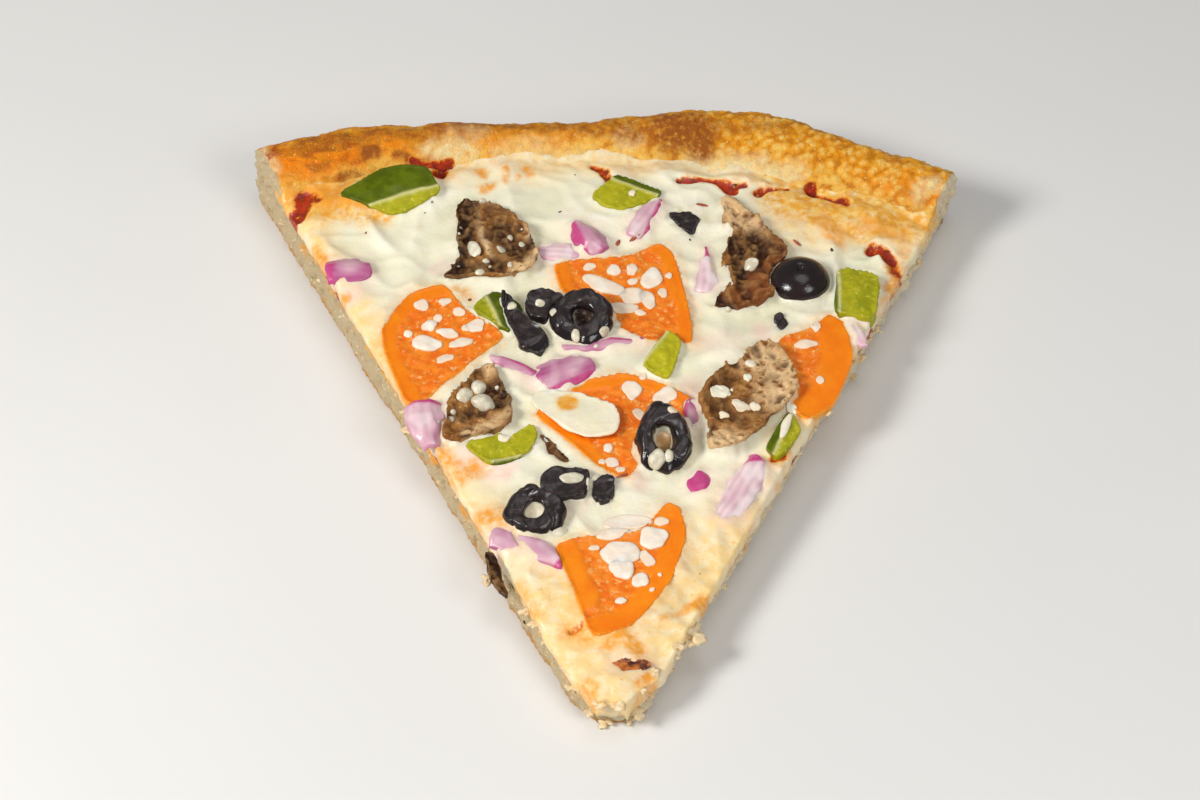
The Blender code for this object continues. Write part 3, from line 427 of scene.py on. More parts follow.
class SliceSizes(bpy.types.PropertyGroup):
    """How finely and how deeply the slice's surfaces are worked."""
    dough_net: bpy.props.FloatProperty(
        name="Dough net", description="Spacing of the dough's mesh before its crust is refined",
        default=0.98 * MM, unit="LENGTH")
    cheese_net: bpy.props.FloatProperty(
        name="Cheese net", description="Spacing of the melted surface's mesh", default=0.52 * MM,
        unit="LENGTH")
    topping_net: bpy.props.FloatProperty(
        name="Topping net", description="Spacing of the mesh on tomato, pepper, mushroom and olive",
        default=0.42 * MM, unit="LENGTH")
    onion_net: bpy.props.FloatProperty(
        name="Onion net", description="Spacing of the mesh on the thin onion leaves",
        default=0.3 * MM, unit="LENGTH")
    blister: bpy.props.FloatProperty(
        name="Crust blisters", description="Height of the crust's small blisters", default=0.5 * MM,
        unit="LENGTH")
    crumb: bpy.props.FloatProperty(
        name="Crumb depth", description="Depth of the pits in the cut dough", default=1.1 * MM, unit="LENGTH")
    fillet: bpy.props.FloatProperty(
        name="Cheese fillet", description="How far the cheese climbs the side of a topping",
        default=1.0 * MM, unit="LENGTH")


def colour_property(name, description, value):
    """A colour that a user may change."""
    return bpy.props.FloatVectorProperty(name=name, description=description, default=value, subtype="COLOR",
                                         size=3, min=0.0, max=1.0)


class SliceColours(bpy.types.PropertyGroup):
    """The main colours of the slice's foods."""
    crust: colour_property("Crust", "Golden baked skin", (0.86, 0.325, 0.006))
    crust_dark: colour_property("Dark crust", "Browned skin", (0.36, 0.10, 0.010))
    crumb: colour_property("Crumb", "Cut inside of the dough", (0.86, 0.74, 0.52))
    cheese: colour_property("Cheese", "Melted cheese where it is thick", (0.87, 0.84, 0.63))
    cheese_warm: colour_property("Toasted cheese", "Cheese that has taken oil and heat", (0.93, 0.66, 0.29))
    oil: colour_property("Orange oil", "Stains of oil and tomato", (0.86, 0.36, 0.035))
    sauce: colour_property("Sauce", "Baked tomato sauce", (0.44, 0.030, 0.004))
    tomato: colour_property("Tomato flesh", "Smooth outer flesh", (0.90, 0.205, 0.002))
    tomato_pulp: colour_property("Tomato pulp", "Wet middle of the slice", (0.84, 0.17, 0.008))
    pepper_skin: colour_property("Pepper skin", "Dark green outside", (0.075, 0.105, 0.001))
    pepper_flesh: colour_property("Pepper flesh", "Yellow green inside", (0.36, 0.34, 0.010))
    mushroom: colour_property("Mushroom", "Roasted tan flesh", (0.38, 0.165, 0.038))
    mushroom_dark: colour_property("Mushroom gills", "Shrunken dark gills", (0.026, 0.009, 0.005))
    olive: colour_property("Olive", "Black olive skin", (0.012, 0.008, 0.009))
    onion: colour_property("Onion", "Pale pink leaf", (0.90, 0.72, 0.71))
    onion_dark: colour_property("Onion edge", "Magenta edge of a leaf", (0.56, 0.06, 0.23))


class StageSettings(bpy.types.PropertyGroup):
    """Where the camera stands and how the studio is lit."""
    elevation: bpy.props.FloatProperty(
        name="Elevation", description="Angle of the camera above the table", default=math.radians(45.0),
        subtype="ANGLE", unit="ROTATION")
    distance: bpy.props.FloatProperty(
        name="Distance", description="From the camera to the middle of the slice", default=0.900,
        unit="LENGTH")
    lens: bpy.props.FloatProperty(name="Lens", description="Focal length in millimetres", default=116.0)
    lift: bpy.props.FloatProperty(
        name="Lift", description="Upward shift of the view as a share of its width", default=22.0 / 1200.0)
    key: bpy.props.FloatProperty(name="Key light", description="Power of the main soft light", default=6.2)
    fill: bpy.props.FloatProperty(name="Fill light", description="Power of the second light", default=2.4)
    sky: bpy.props.FloatProperty(name="Sky", description="Strength of the even light all round", default=0.20)
    floor: colour_property("Floor", "Pale table", (0.80, 0.79, 0.77))


def camera_target():
    """The place on the slice at which the camera looks."""
    return Vector((APEX.x + AIM_ASIDE, APEX.y + AIM_ALONG, AIM_HEIGHT))


def sight_line(seen):
    """The camera's place and the direction in which it sees a place of the photograph."""
    stage = bpy.context.scene.slice_stage
    back = Vector((0.0, -math.cos(stage.elevation), math.sin(stage.elevation)))
    up = Vector((0.0, math.sin(stage.elevation), math.cos(stage.elevation)))
    pixels = IMAGE_WIDTH * stage.lens / SENSOR
    across = (seen[0] - IMAGE_WIDTH / 2) / pixels
    above = (IMAGE_HEIGHT / 2 + stage.lift * IMAGE_WIDTH - seen[1]) / pixels
    direction = -back + Vector((across, 0.0, 0.0)) + up * above
    return camera_target() + back * stage.distance, direction.normalized()


def tree_of(objects):
    """One search tree over the faces of several meshes."""
    corners = []
    faces = []
    for obj in objects:
        start = len(corners)
        corners.extend(vert.co.copy() for vert in obj.data.vertices)
        faces.extend(tuple(start + i for i in face.vertices) for face in obj.data.polygons)
    return BVHTree.FromPolygons(corners, faces)


CAD_TREE = tree_of(frame["nodes"].values())


def touch(seen, tree=None):
    """Where the sight line through a place meets the slice, and the surface's direction there."""
    eye, direction = sight_line(seen)
    spot, normal, _, _ = (tree or CAD_TREE).ray_cast(eye, direction)
    if spot is None:
        spot = eye + direction * ((MISSED_HEIGHT - eye.z) / direction.z)
        normal = Vector((0.0, 0.0, 1.0))
    return spot, normal


def line_distance(points, line):
    """Distance in plan from many points to a line of plan places."""
    line = [np.array((place[0], place[1])) for place in line]
    if len(line) == 1:
        return np.linalg.norm(points[:, :2] - line[0], axis=1)
    nearest = np.full(len(points), 1e9)
    for start, end in zip(line, line[1:]):
        along = end - start
        share = np.clip(((points[:, :2] - start) @ along) / max(along @ along, 1e-12), 0.0, 1.0)
        foot = start + share[:, None] * along
        nearest = np.minimum(nearest, np.linalg.norm(points[:, :2] - foot, axis=1))
    return nearest


def smooth_step(low, high, value):
    """A soft step from 0 at low to 1 at high."""
    share = np.clip((value - low) / (high - low), 0.0, 1.0)
    return share * share * (3.0 - 2.0 * share)


def mark_field(points, marks, soft=0.8):
    """How strongly each point lies in any of the marks."""
    total = np.zeros(len(points))
    for line, radius, strength in marks:
        places = [touch(seen)[0] for seen in line]
        away = line_distance(points, places) / (radius * MM)
        total = np.maximum(total, strength * (1.0 - smooth_step(1.0 - soft, 1.0 + soft, away)))
    return total


def positions(bm):
    """The places of a mesh's corners as an array."""
    return np.array([vert.co for vert in bm.verts], float).reshape(-1, 3)


def normals(bm):
    """The directions of a mesh's corners as an array."""
    bm.normal_update()
    return np.array([vert.normal for vert in bm.verts], float).reshape(-1, 3)


def move_to(bm, points):
    """Put a mesh's corners at the places of an array."""
    for vert, point in zip(bm.verts, points):
        vert.co = point


def ripple(points, size, seed=0.0, stretch=(1.0, 1.0, 1.0)):
    """Smooth noise from -1 to 1 at each point, with features of the given size."""
    scaled = points / size / np.array(stretch) + np.array((seed, seed * 1.7, seed * 0.6))
    return np.array([noise.noise(Vector(p)) for p in scaled])


def wander(points, size, reach, seed=0.0):
    """The points moved about by noise, so that an outline drawn on them is uneven."""
    noise.seed_set(NOISE_SEED)
    scaled = points / size + seed
    return points + reach * np.array([noise.noise_vector(Vector(p)) for p in scaled])


def cells(points, size, seed=0.0):
    """Distance to the nearest and to the second nearest of scattered cell middles, in cell sizes."""
    scaled = points / size + seed
    found = [noise.voronoi(Vector(p))[0] for p in scaled]
    return np.array([f[0] for f in found]), np.array([f[1] for f in found])


def merged_copy(node):
    """A welded copy of one solid."""
    bm = bmesh.new()
    bm.from_mesh(frame["nodes"][node].data)
    bmesh.ops.remove_doubles(bm, verts=bm.verts, dist=1e-6)
    return bm


def soften(bm, verts, times=1):
    """Draw corners towards their neighbours."""
    for _ in range(times):
        bmesh.ops.smooth_vert(bm, verts=verts, factor=0.5, use_axis_x=True, use_axis_y=True, use_axis_z=True)


def wrapped(bm, net, smoothing):
    """Even small quads round a closed shape, with its facets smoothed away."""
    mesh = bpy.data.meshes.new("wrap")
    bm.to_mesh(mesh)
    bm.free()
    carrier = bpy.data.objects.new("wrap", mesh)
    bpy.context.scene.collection.objects.link(carrier)
    wrap = carrier.modifiers.new("wrap", "REMESH")
    wrap.mode = "VOXEL"
    wrap.voxel_size = net
    wrap.adaptivity = 0.0
    fine = bmesh.new()
    fine.from_object(carrier, bpy.context.evaluated_depsgraph_get())
    bpy.data.objects.remove(carrier, do_unlink=True)
    bpy.data.meshes.remove(mesh)
    soften(fine, fine.verts, smoothing)
    return fine


def make_piece(name, bm, material, nodes=(), masks=None):
    """Turn a finished mesh into a piece that rides on the slice and stands for its solids."""
    mesh = bpy.data.meshes.new(name)
    bm.to_mesh(mesh)
    bm.free()
    mesh.shade_smooth()
    for label, values in (masks or {}).items():
        layer = mesh.attributes.new(label, "FLOAT", "POINT")
        layer.data.foreach_set("value", np.asarray(values, np.float32))
    mesh.materials.append(material)
    piece = bpy.data.objects.new(name, mesh)
    bpy.context.scene.collection.objects.link(piece)
    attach(piece, BODY)
    if nodes:
        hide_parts(*nodes)
    return piece


def polar(points):
    """Radius and azimuth of each point about the pizza's middle."""
    x = points[:, 0] - APEX.x
    y = points[:, 1] - APEX.y
    return np.hypot(x, y), np.arctan2(x, y)


def to_cut(points):
    """Distance in plan from each point to the nearer of the two cuts."""
    radius, azimuth = polar(points)
    return radius * np.sin(np.maximum(HALF_ANGLE - np.abs(azimuth), 0.0))


def foot_radius(azimuth):
    """Where the rim starts to rise."""
    return FOOT_RADIUS + FOOT_SKEW * azimuth / HALF_ANGLE


def layer_height(points):
    """Height of the flat face under the sauce."""
    return FLOOR_AT_TIP + FLOOR_RISE * (points[:, 1] - APEX.y) / FOOT_RADIUS


def plan_sheet(net, inset, end):
    """A flat sheet over the covered part of the slice, cut along both sides."""
    rows = round((FOOT_RADIUS - TIP_RADIUS) / net)
    columns = round(2 * HALF_WIDTH / net)
    bm = bmesh.new()
    bmesh.ops.create_grid(bm, x_segments=columns, y_segments=rows, size=1.0)
    for vert in bm.verts:
        x = vert.co.x * HALF_WIDTH
        radius = TIP_RADIUS + (FOOT_RADIUS - TIP_RADIUS) * (vert.co.y + 1.0) / 2.0
        share = radius / FOOT_RADIUS
        azimuth = math.asin(x / FOOT_RADIUS)
        reach = radius + (foot_radius(azimuth) + end - FOOT_RADIUS) * share ** 3
        arc = math.sqrt(max(reach * reach - x * x, 0.0))
        vert.co = Vector((x, radius + (arc - radius) * share ** 2, 0.0))
    for side, lean in LEANS:
        outward = Vector((side * math.cos(HALF_ANGLE), -math.sin(HALF_ANGLE), 0.0))
        bmesh.ops.bisect_plane(bm, geom=bm.verts[:] + bm.edges[:] + bm.faces[:], dist=1e-7,
                               plane_co=outward * (lean - inset), plane_no=outward, clear_outer=True)
    bmesh.ops.remove_doubles(bm, verts=bm.verts, dist=0.3 * net)
    for vert in bm.verts:
        worn = min(max((vert.co.y - TIP_RADIUS) / TIP_LENGTH, 0.0), 1.0)
        vert.co.x *= TIP_SHARE + (1.0 - TIP_SHARE) * math.sin(worn * math.pi / 2)
        vert.co += Vector((APEX.x, APEX.y, 0.0))
    return bm


def deepened(bm, wall_cuts):
    """Give a sheet walls and a lower face of few triangles; the lower corners stand one metre down."""
    rim = [edge for edge in bm.edges if edge.is_boundary]
    made = bmesh.ops.extrude_edge_only(bm, edges=rim)
    lower = {item for item in made["geom"] if isinstance(item, bmesh.types.BMVert)}
    for vert in lower:
        vert.co.z -= 1.0
    posts = [edge for edge in bm.edges if (edge.verts[0] in lower) != (edge.verts[1] in lower)]
    bmesh.ops.subdivide_edges(bm, edges=posts, cuts=wall_cuts, use_grid_fill=True)
    cap = bmesh.ops.holes_fill(bm, edges=[edge for edge in bm.edges if edge.is_boundary])
    bmesh.ops.triangulate(bm, faces=cap["faces"], quad_method="BEAUTY", ngon_method="EAR_CLIP")
    bmesh.ops.recalc_face_normals(bm, faces=bm.faces)
    return bm


def new_material(name, roughness=0.5, **constants):
    """A material with its Principled BSDF, whose constant values sit on its own sockets."""
    material = bpy.data.materials.new(name)
    material.use_nodes = True
    shader = material.node_tree.nodes["Principled BSDF"]
    shader.inputs["Roughness"].default_value = roughness
    for label, value in constants.items():
        shader.inputs[label.replace("_", " ")].default_value = value
    return material, material.node_tree, shader


def put(tree, kind, inputs=None, **settings):
    """Add a node, set it, and link or set its inputs."""
    made = tree.nodes.new(kind)
    for label, value in settings.items():
        setattr(made, label, value)
    for label, value in (inputs or {}).items():
        if isinstance(value, bpy.types.NodeSocket):
            tree.links.new(value, made.inputs[label])
        else:
            made.inputs[label].default_value = value
    return made


def paint(tree, factor, first, second):
    """One colour laid over another by a mask."""
    mixed = put(tree, "ShaderNodeMix", {0: factor, 6: rgba(first), 7: rgba(second)}, data_type="RGBA")
    return mixed.outputs[2]


def rgba(colour):
    """A colour as four numbers, or a socket as it is."""
    if isinstance(colour, bpy.types.NodeSocket):
        return colour
    return (*tuple(colour)[:3], 1.0)


def sums(tree, operation, first, second, clamp=False):
    """The result of one sum on two values."""
    return put(tree, "ShaderNodeMath", {0: first, 1: second}, operation=operation, use_clamp=clamp).outputs[0]


def mask_of(tree, name):
    """A mask that was painted on the mesh."""
    return put(tree, "ShaderNodeAttribute", attribute_name=name).outputs["Fac"]


def new_group(name, inputs, outputs):
    """A shader node group with named sockets."""
    group = bpy.data.node_groups.new(name, "ShaderNodeTree")
    for label, kind, value in inputs:
        socket = group.interface.new_socket(label, in_out="INPUT", socket_type=kind)
        socket.default_value = value
    for label, kind in outputs:
        group.interface.new_socket(label, in_out="OUTPUT", socket_type=kind)
    entry = group.nodes.new("NodeGroupInput")
    leave = group.nodes.new("NodeGroupOutput")
    return group, entry, leave


def mottle_group():
    """Soft irregular patches: noise of one scale turned into a mask."""
    group, entry, leave = new_group(
        "Mottle",
        [("Scale", "NodeSocketFloat", 100.0), ("Low", "NodeSocketFloat", 0.4),
         ("High", "NodeSocketFloat", 0.6)],
        [("Mask", "NodeSocketFloat")])
    where = put(group, "ShaderNodeTexCoord").outputs["Object"]
    cloud = put(group, "ShaderNodeTexNoise", {"Vector": where, "Scale": entry.outputs["Scale"], "Detail": 4.0,
                                              "Roughness": 0.6})
    step = put(group, "ShaderNodeMapRange", {"Value": cloud.outputs[0], "From Min": entry.outputs["Low"],
                                             "From Max": entry.outputs["High"]},
               interpolation_type="SMOOTHSTEP")
    group.links.new(step.outputs[0], leave.inputs["Mask"])
    return group


def broken_group():
    """A painted mask whose edge is broken up by noise."""
    group, entry, leave = new_group(
        "Broken edge",
        [("Mask", "NodeSocketFloat", 0.0), ("Scale", "NodeSocketFloat", 600.0),
         ("Break", "NodeSocketFloat", 0.6)],
        [("Mask", "NodeSocketFloat")])
    where = put(group, "ShaderNodeTexCoord").outputs["Object"]
    cloud = put(group, "ShaderNodeTexNoise", {"Vector": where, "Scale": entry.outputs["Scale"], "Detail": 5.0,
                                              "Roughness": 0.65}).outputs[0]
    swing = sums(group, "MULTIPLY", sums(group, "SUBTRACT", cloud, 0.5), entry.outputs["Break"])
    doubled = sums(group, "MULTIPLY", swing, 4.0)
    strength = sums(group, "MULTIPLY", entry.outputs["Mask"], sums(group, "ADD", doubled, 1.0), clamp=True)
    group.links.new(strength, leave.inputs["Mask"])
    return group


def grain_group():
    """Height of a fine surface grain made of two sizes of noise."""
    group, entry, leave = new_group(
        "Grain",
        [("Scale", "NodeSocketFloat", 800.0), ("Fine share", "NodeSocketFloat", 0.4)],
        [("Height", "NodeSocketFloat")])
    where = put(group, "ShaderNodeTexCoord").outputs["Object"]
    coarse = put(group, "ShaderNodeTexNoise", {"Vector": where, "Scale": entry.outputs["Scale"],
                                               "Detail": 3.0})
    finer = sums(group, "MULTIPLY", entry.outputs["Scale"], 3.1)
    fine = put(group, "ShaderNodeTexNoise", {"Vector": where, "Scale": finer, "Detail": 2.0})
    small = sums(group, "MULTIPLY", fine.outputs[0], entry.outputs["Fine share"])
    group.links.new(sums(group, "ADD", coarse.outputs[0], small), leave.inputs["Height"])
    return group


def use_group(tree, name, **inputs):
    """Place a shared group in a material, with its own values."""
    made = tree.nodes.new("ShaderNodeGroup")
    made.node_tree = bpy.data.node_groups[name]
    for label, value in inputs.items():
        label = label.replace("_", " ")
        if isinstance(value, bpy.types.NodeSocket):
            tree.links.new(value, made.inputs[label])
        else:
            made.inputs[label].default_value = value
    return made.outputs[0]


def mottle(tree, size, low=0.4, high=0.6):
    """A mask of soft patches of about the given size."""
    return use_group(tree, "Mottle", Scale=1.0 / size, Low=low, High=high)


def broken(tree, name, size, share=0.6):
    """A painted mask with a broken edge."""
    return use_group(tree, "Broken edge", Mask=mask_of(tree, name), Scale=1.0 / size, Break=share)


def layered(tree, colour, rows):
    """A colour with others laid over it in turn.

    Each row is a mask and a colour. The mask is a painted one with a broken edge, given by its name, the
    size of the breaks in millimetres and their strength, or a plain painted one where that size is None,
    or soft patches, given by their size in millimetres and the noise at which they start and are full.
    """
    for key, first, second, over in rows:
        if first is None:
            mask = mask_of(tree, key)
        elif isinstance(key, str):
            mask = broken(tree, key, first * MM, second)
        else:
            mask = mottle(tree, key * MM, first, second)
        colour = paint(tree, mask, colour, over)
    return colour


def set_gloss(tree, shader, mask, without, within):
    """Roughness that goes from one value to another with a mask."""
    rough = put(tree, "ShaderNodeMapRange", {"Value": mask, "To Min": without, "To Max": within})
    tree.links.new(rough.outputs[0], shader.inputs["Roughness"])


def set_bump(tree, shader, size, depth, fine=0.4):
    """Roughen a surface with fine grain."""
    height = use_group(tree, "Grain", Scale=1.0 / size, Fine_share=fine)
    bump = put(tree, "ShaderNodeBump", {"Height": height, "Distance": depth, "Strength": 1.0})
    tree.links.new(bump.outputs["Normal"], shader.inputs["Normal"])


def set_soft(shader, weight, reach, radius):
    """Let light spread inside a food."""
    shader.inputs["Subsurface Weight"].default_value = weight
    shader.inputs["Subsurface Scale"].default_value = reach
    shader.inputs["Subsurface Radius"].default_value = radius


def with_sauce(tree, colour):
    """A colour with painted sauce over it: an orange fringe round deep red."""
    mask = broken(tree, "sauce", 1.6 * MM, 0.9)
    fringe = put(tree, "ShaderNodeMapRange", {"Value": mask, "From Min": 0.08, "From Max": 0.35})
    deep = put(tree, "ShaderNodeMapRange", {"Value": mask, "From Min": 0.28, "From Max": 0.60})
    colour = paint(tree, fringe.outputs[0], colour, (0.80, 0.26, 0.015))
    sauce = bpy.context.scene.slice_colours.sauce
    dark = paint(tree, mottle(tree, 1.5 * MM, 0.42, 0.58), sauce, (0.24, 0.020, 0.006))
    return paint(tree, deep.outputs[0], colour, dark)


def crust_material():
    """Baked dough: golden skin with brown and pale places, painted highlights on its small blisters and
    painted shade between them, and open cream crumb on the cuts.
    """
    colours = bpy.context.scene.slice_colours
    material, tree, shader = new_material("baked dough", Specular_IOR_Level=0.2)
    gold = layered(tree, colours.crust, (
        (9, 0.38, 0.62, (0.90, 0.39, 0.012)),
        (1.8, 0.50, 0.66, (0.66, 0.22, 0.004)),
        (3.4, 0.56, 0.70, (0.93, 0.54, 0.07)),
        ("orange", 2.5, 0.7, (0.92, 0.245, 0.001)),
        ("foot", 3.0, 0.8, (0.92, 0.53, 0.09)),
        ("raised", 1.4, 0.8, (0.56, 0.18, 0.006)),
        ("streak", 1.2, 0.8, (0.50, 0.15, 0.004)),
        # painted shade between the small blisters
        ("between", 0.8, 0.8, (0.58, 0.19, 0.004)),
        # painted highlight on the tops of the small blisters, on the right half
        ("pimple", 0.7, 0.8, (0.97, 0.62, 0.15)),
        ("pale", 2.0, 0.9, (0.93, 0.72, 0.36)),
        (0.8, 0.62, 0.70, (0.95, 0.68, 0.26)),
        ("veins", 1.0, 0.9, (0.46, 0.085, 0.006)),
        ("brown", 1.4, 0.9, colours.crust_dark),
    ))
    under = layered(tree, (0.76, 0.52, 0.24), (
        (6, 0.42, 0.60, (0.50, 0.24, 0.07)),
        (2.2, 0.58, 0.66, (0.20, 0.08, 0.025)),
    ))
    inside = layered(tree, colours.crumb, (
        (3.2, 0.35, 0.65, (0.74, 0.62, 0.42)),
        ("shaded", None, None, (0.58, 0.46, 0.28)),
        (1.1, 0.60, 0.74, (0.90, 0.80, 0.60)),
        (1.6, 0.62, 0.68, (0.56, 0.24, 0.05)),
        ("toasted", 1.5, 0.5, (0.55, 0.28, 0.07)),
    ))
    whole = layered(tree, gold, (
        ("under", None, None, under),
        ("cut", None, None, inside),
        ("oily", 1.8, 0.9, colours.oil),
    ))
    whole = with_sauce(tree, whole)
    tree.links.new(whole, shader.inputs["Base Color"])
    dull = put(tree, "ShaderNodeMapRange", {"Value": mask_of(tree, "cut"), "To Min": 0.46, "To Max": 0.85})
    rough = put(tree, "ShaderNodeMix", {0: mask_of(tree, "sauce"), 2: dull.outputs[0], 3: 0.28}).outputs[0]
    tree.links.new(rough, shader.inputs["Roughness"])
    set_bump(tree, shader, 0.55 * MM, 0.42 * MM, 0.6)
    set_soft(shader, 0.12, 1.2 * MM, (1.0, 0.5, 0.25))
    return material


def cheese_material():
    """Melted cheese: smooth cream with toasted, oily and pink places, painted shade in its low places, and
    the dark floor and painted shade of an olive's hollow.
    """
    colours = bpy.context.scene.slice_colours
    material, tree, shader = new_material("melted cheese", Specular_IOR_Level=0.4)
    cream = layered(tree, colours.cheese, (
        (14, 0.35, 0.65, (0.93, 0.88, 0.72)),
        (4, 0.50, 0.72, (0.90, 0.83, 0.60)),
    ))
    # painted shade: the low places of the relief are darkened towards grey green
    cream = paint(tree, sums(tree, "MULTIPLY", mask_of(tree, "valley"), 0.5), cream, (0.76, 0.73, 0.50))
    baked = layered(tree, (0.82, 0.38, 0.035), ((2.2, 0.42, 0.60, (0.90, 0.56, 0.14)),))
    cream = layered(tree, cream, (
        ("warm", 3.5, 0.9, colours.cheese_warm),
        ("pink", 3.0, 0.6, (0.90, 0.66, 0.56)),
        ("grey", 1.6, 0.9, (0.60, 0.53, 0.38)),
        ("toasted", 2.0, 0.9, baked),
        ("oily", 1.6, 0.9, colours.oil),
    ))
    cream = with_sauce(tree, cream)
    spots = sums(tree, "MULTIPLY", mottle(tree, 1.3 * MM, 0.62, 0.73), mask_of(tree, "warm"))
    cream = paint(tree, spots, cream, (0.86, 0.46, 0.09))
    # the olive's dark floor and painted shade, in an olive ring's hollow
    cream = paint(tree, broken(tree, "hole", 1.0 * MM, 0.4), cream, (0.05, 0.025, 0.018))
    tree.links.new(cream, shader.inputs["Base Color"])
    set_gloss(tree, shader, mottle(tree, 5 * MM), 0.30, 0.46)
    set_bump(tree, shader, 1.1 * MM, 0.10 * MM, 0.35)
    set_soft(shader, 0.45, 1.8 * MM, (1.0, 0.75, 0.45))
    return material


def drop_material(name, main, other):
    """Small drops of cheese that dried on a topping."""
    material, tree, shader = new_material(name, 0.3, Specular_IOR_Level=0.5)
    colour = paint(tree, mottle(tree, 2.4 * MM, 0.4, 0.62), main, other)
    thin = sums(tree, "MULTIPLY", mask_of(tree, "thin"), 0.8)
    colour = paint(tree, thin, colour, (0.93, 0.58, 0.32))
    tree.links.new(colour, shader.inputs["Base Color"])
    set_bump(tree, shader, 0.8 * MM, 0.05 * MM)
    set_soft(shader, 0.35, 1.0 * MM, (1.0, 0.7, 0.5))
    return material


def sauce_material():
    """Dark baked tomato sauce."""
    colours = bpy.context.scene.slice_colours
    material, tree, shader = new_material("tomato sauce", 0.3)
    colour = paint(tree, mottle(tree, 2.0 * MM, 0.4, 0.6), colours.sauce, (0.62, 0.13, 0.02))
    tree.links.new(colour, shader.inputs["Base Color"])
    set_bump(tree, shader, 0.7 * MM, 0.15 * MM)
    return material


def tomato_material():
    """Baked tomato: smooth orange flesh round a redder wet pulp with pale veins."""
    colours = bpy.context.scene.slice_colours
    material, tree, shader = new_material("tomato flesh", 0.3, Specular_IOR_Level=0.35)
    flesh = layered(tree, colours.tomato, ((7, 0.35, 0.65, (0.95, 0.27, 0.004)),))
    pulp = layered(tree, colours.tomato_pulp, (
        (2.6, 0.42, 0.60, (0.90, 0.26, 0.02)),
        (1.5, 0.56, 0.66, (0.93, 0.45, 0.14)),
    ))
    whole = layered(tree, flesh, (
        ("pulp", 1.4, 0.5, pulp),
        ("golden", 1.6, 0.4, (0.96, 0.42, 0.02)),
    ))
    tree.links.new(whole, shader.inputs["Base Color"])
    set_gloss(tree, shader, mask_of(tree, "pulp"), 0.34, 0.24)
    set_bump(tree, shader, 0.6 * MM, 0.06 * MM)
    set_soft(shader, 0.35, 1.6 * MM, (1.0, 0.35, 0.12))
    return material


def pepper_material():
    """Green pepper: dark glossy skin and yellow green grainy flesh, with a painted highlight along the edge
    of the skin.
    """
    colours = bpy.context.scene.slice_colours
    material, tree, shader = new_material("green pepper", 0.3, Specular_IOR_Level=0.22)
    flesh = layered(tree, colours.pepper_flesh, (
        (3, 0.4, 0.62, (0.24, 0.26, 0.006)),
        ("yellow", None, None, (0.50, 0.46, 0.012)),
        (1.0, 0.55, 0.70, (0.60, 0.54, 0.06)),
    ))
    skin = layered(tree, colours.pepper_skin, ((4, 0.4, 0.65, (0.12, 0.16, 0.003)),))
    whole = layered(tree, flesh, (("skin", None, None, skin),))
    # painted highlight: a pale line along the edge of the skin
    whole = paint(tree, sums(tree, "MULTIPLY", mask_of(tree, "ridge"), 0.75), whole, (0.72, 0.68, 0.30))
    whole = paint(tree, broken(tree, "scorch", 1.2 * MM, 0.8), whole, (0.30, 0.20, 0.03))
    tree.links.new(whole, shader.inputs["Base Color"])
    set_gloss(tree, shader, mask_of(tree, "skin"), 0.36, 0.20)
    set_bump(tree, shader, 0.55 * MM, 0.07 * MM)
    set_soft(shader, 0.2, 1.0 * MM, (0.6, 1.0, 0.15))
    return material


def mushroom_material():
    """Roasted mushroom: tan wrinkled flesh with shrunken gills, dark and red brown places, painted shade in
    its creases and painted highlights on its crests.
    """
    colours = bpy.context.scene.slice_colours
    material, tree, shader = new_material("roasted mushroom", 0.6, Specular_IOR_Level=0.18)
    tan = layered(tree, colours.mushroom, (
        (3.2, 0.40, 0.62, (0.24, 0.09, 0.020)),
        (1.2, 0.55, 0.68, (0.64, 0.38, 0.15)),
        ("pale", 2.0, 0.4, (0.80, 0.55, 0.29)),
        (0.9, 0.60, 0.70, (0.20, 0.07, 0.015)),
        ("pit", 0.8, 0.6, (0.20, 0.065, 0.012)),
        ("red", 1.6, 0.5, (0.20, 0.055, 0.014)),
        ("dark", 1.2, 0.7, colours.mushroom_dark),
        # painted shade in the creases of the folds
        ("creased", None, None, (0.07, 0.028, 0.014)),
    ))
    # painted highlight: the crests of the folds and the lumps of the gills are made lighter
    lit = sums(tree, "MULTIPLY", broken(tree, "crest", 1.0 * MM, 0.6), 0.45)
    tan = paint(tree, lit, tan, (0.60, 0.33, 0.12))
    tree.links.new(tan, shader.inputs["Base Color"])
    set_gloss(tree, shader, mask_of(tree, "dark"), 0.62, 0.36)
    set_bump(tree, shader, 0.5 * MM, 0.15 * MM, 0.5)
    return material


def olive_material():
    """Black olive: glossy near black skin, and dull grey violet cut flesh."""
    colours = bpy.context.scene.slice_colours
    material, tree, shader = new_material("black olive", 0.2, Specular_IOR_Level=0.5)
    skin = layered(tree, colours.olive, ((4, 0.4, 0.7, (0.022, 0.012, 0.012)),))
    flesh = layered(tree, (0.018, 0.012, 0.012), ((1.6, 0.45, 0.65, (0.048, 0.032, 0.032)),))
    whole = layered(tree, skin, (("flesh", 1.0, 0.6, flesh),))
    tree.links.new(whole, shader.inputs["Base Color"])
    set_gloss(tree, shader, mask_of(tree, "flesh"), 0.16, 0.30)
    set_bump(tree, shader, 0.7 * MM, 0.05 * MM)
    return material


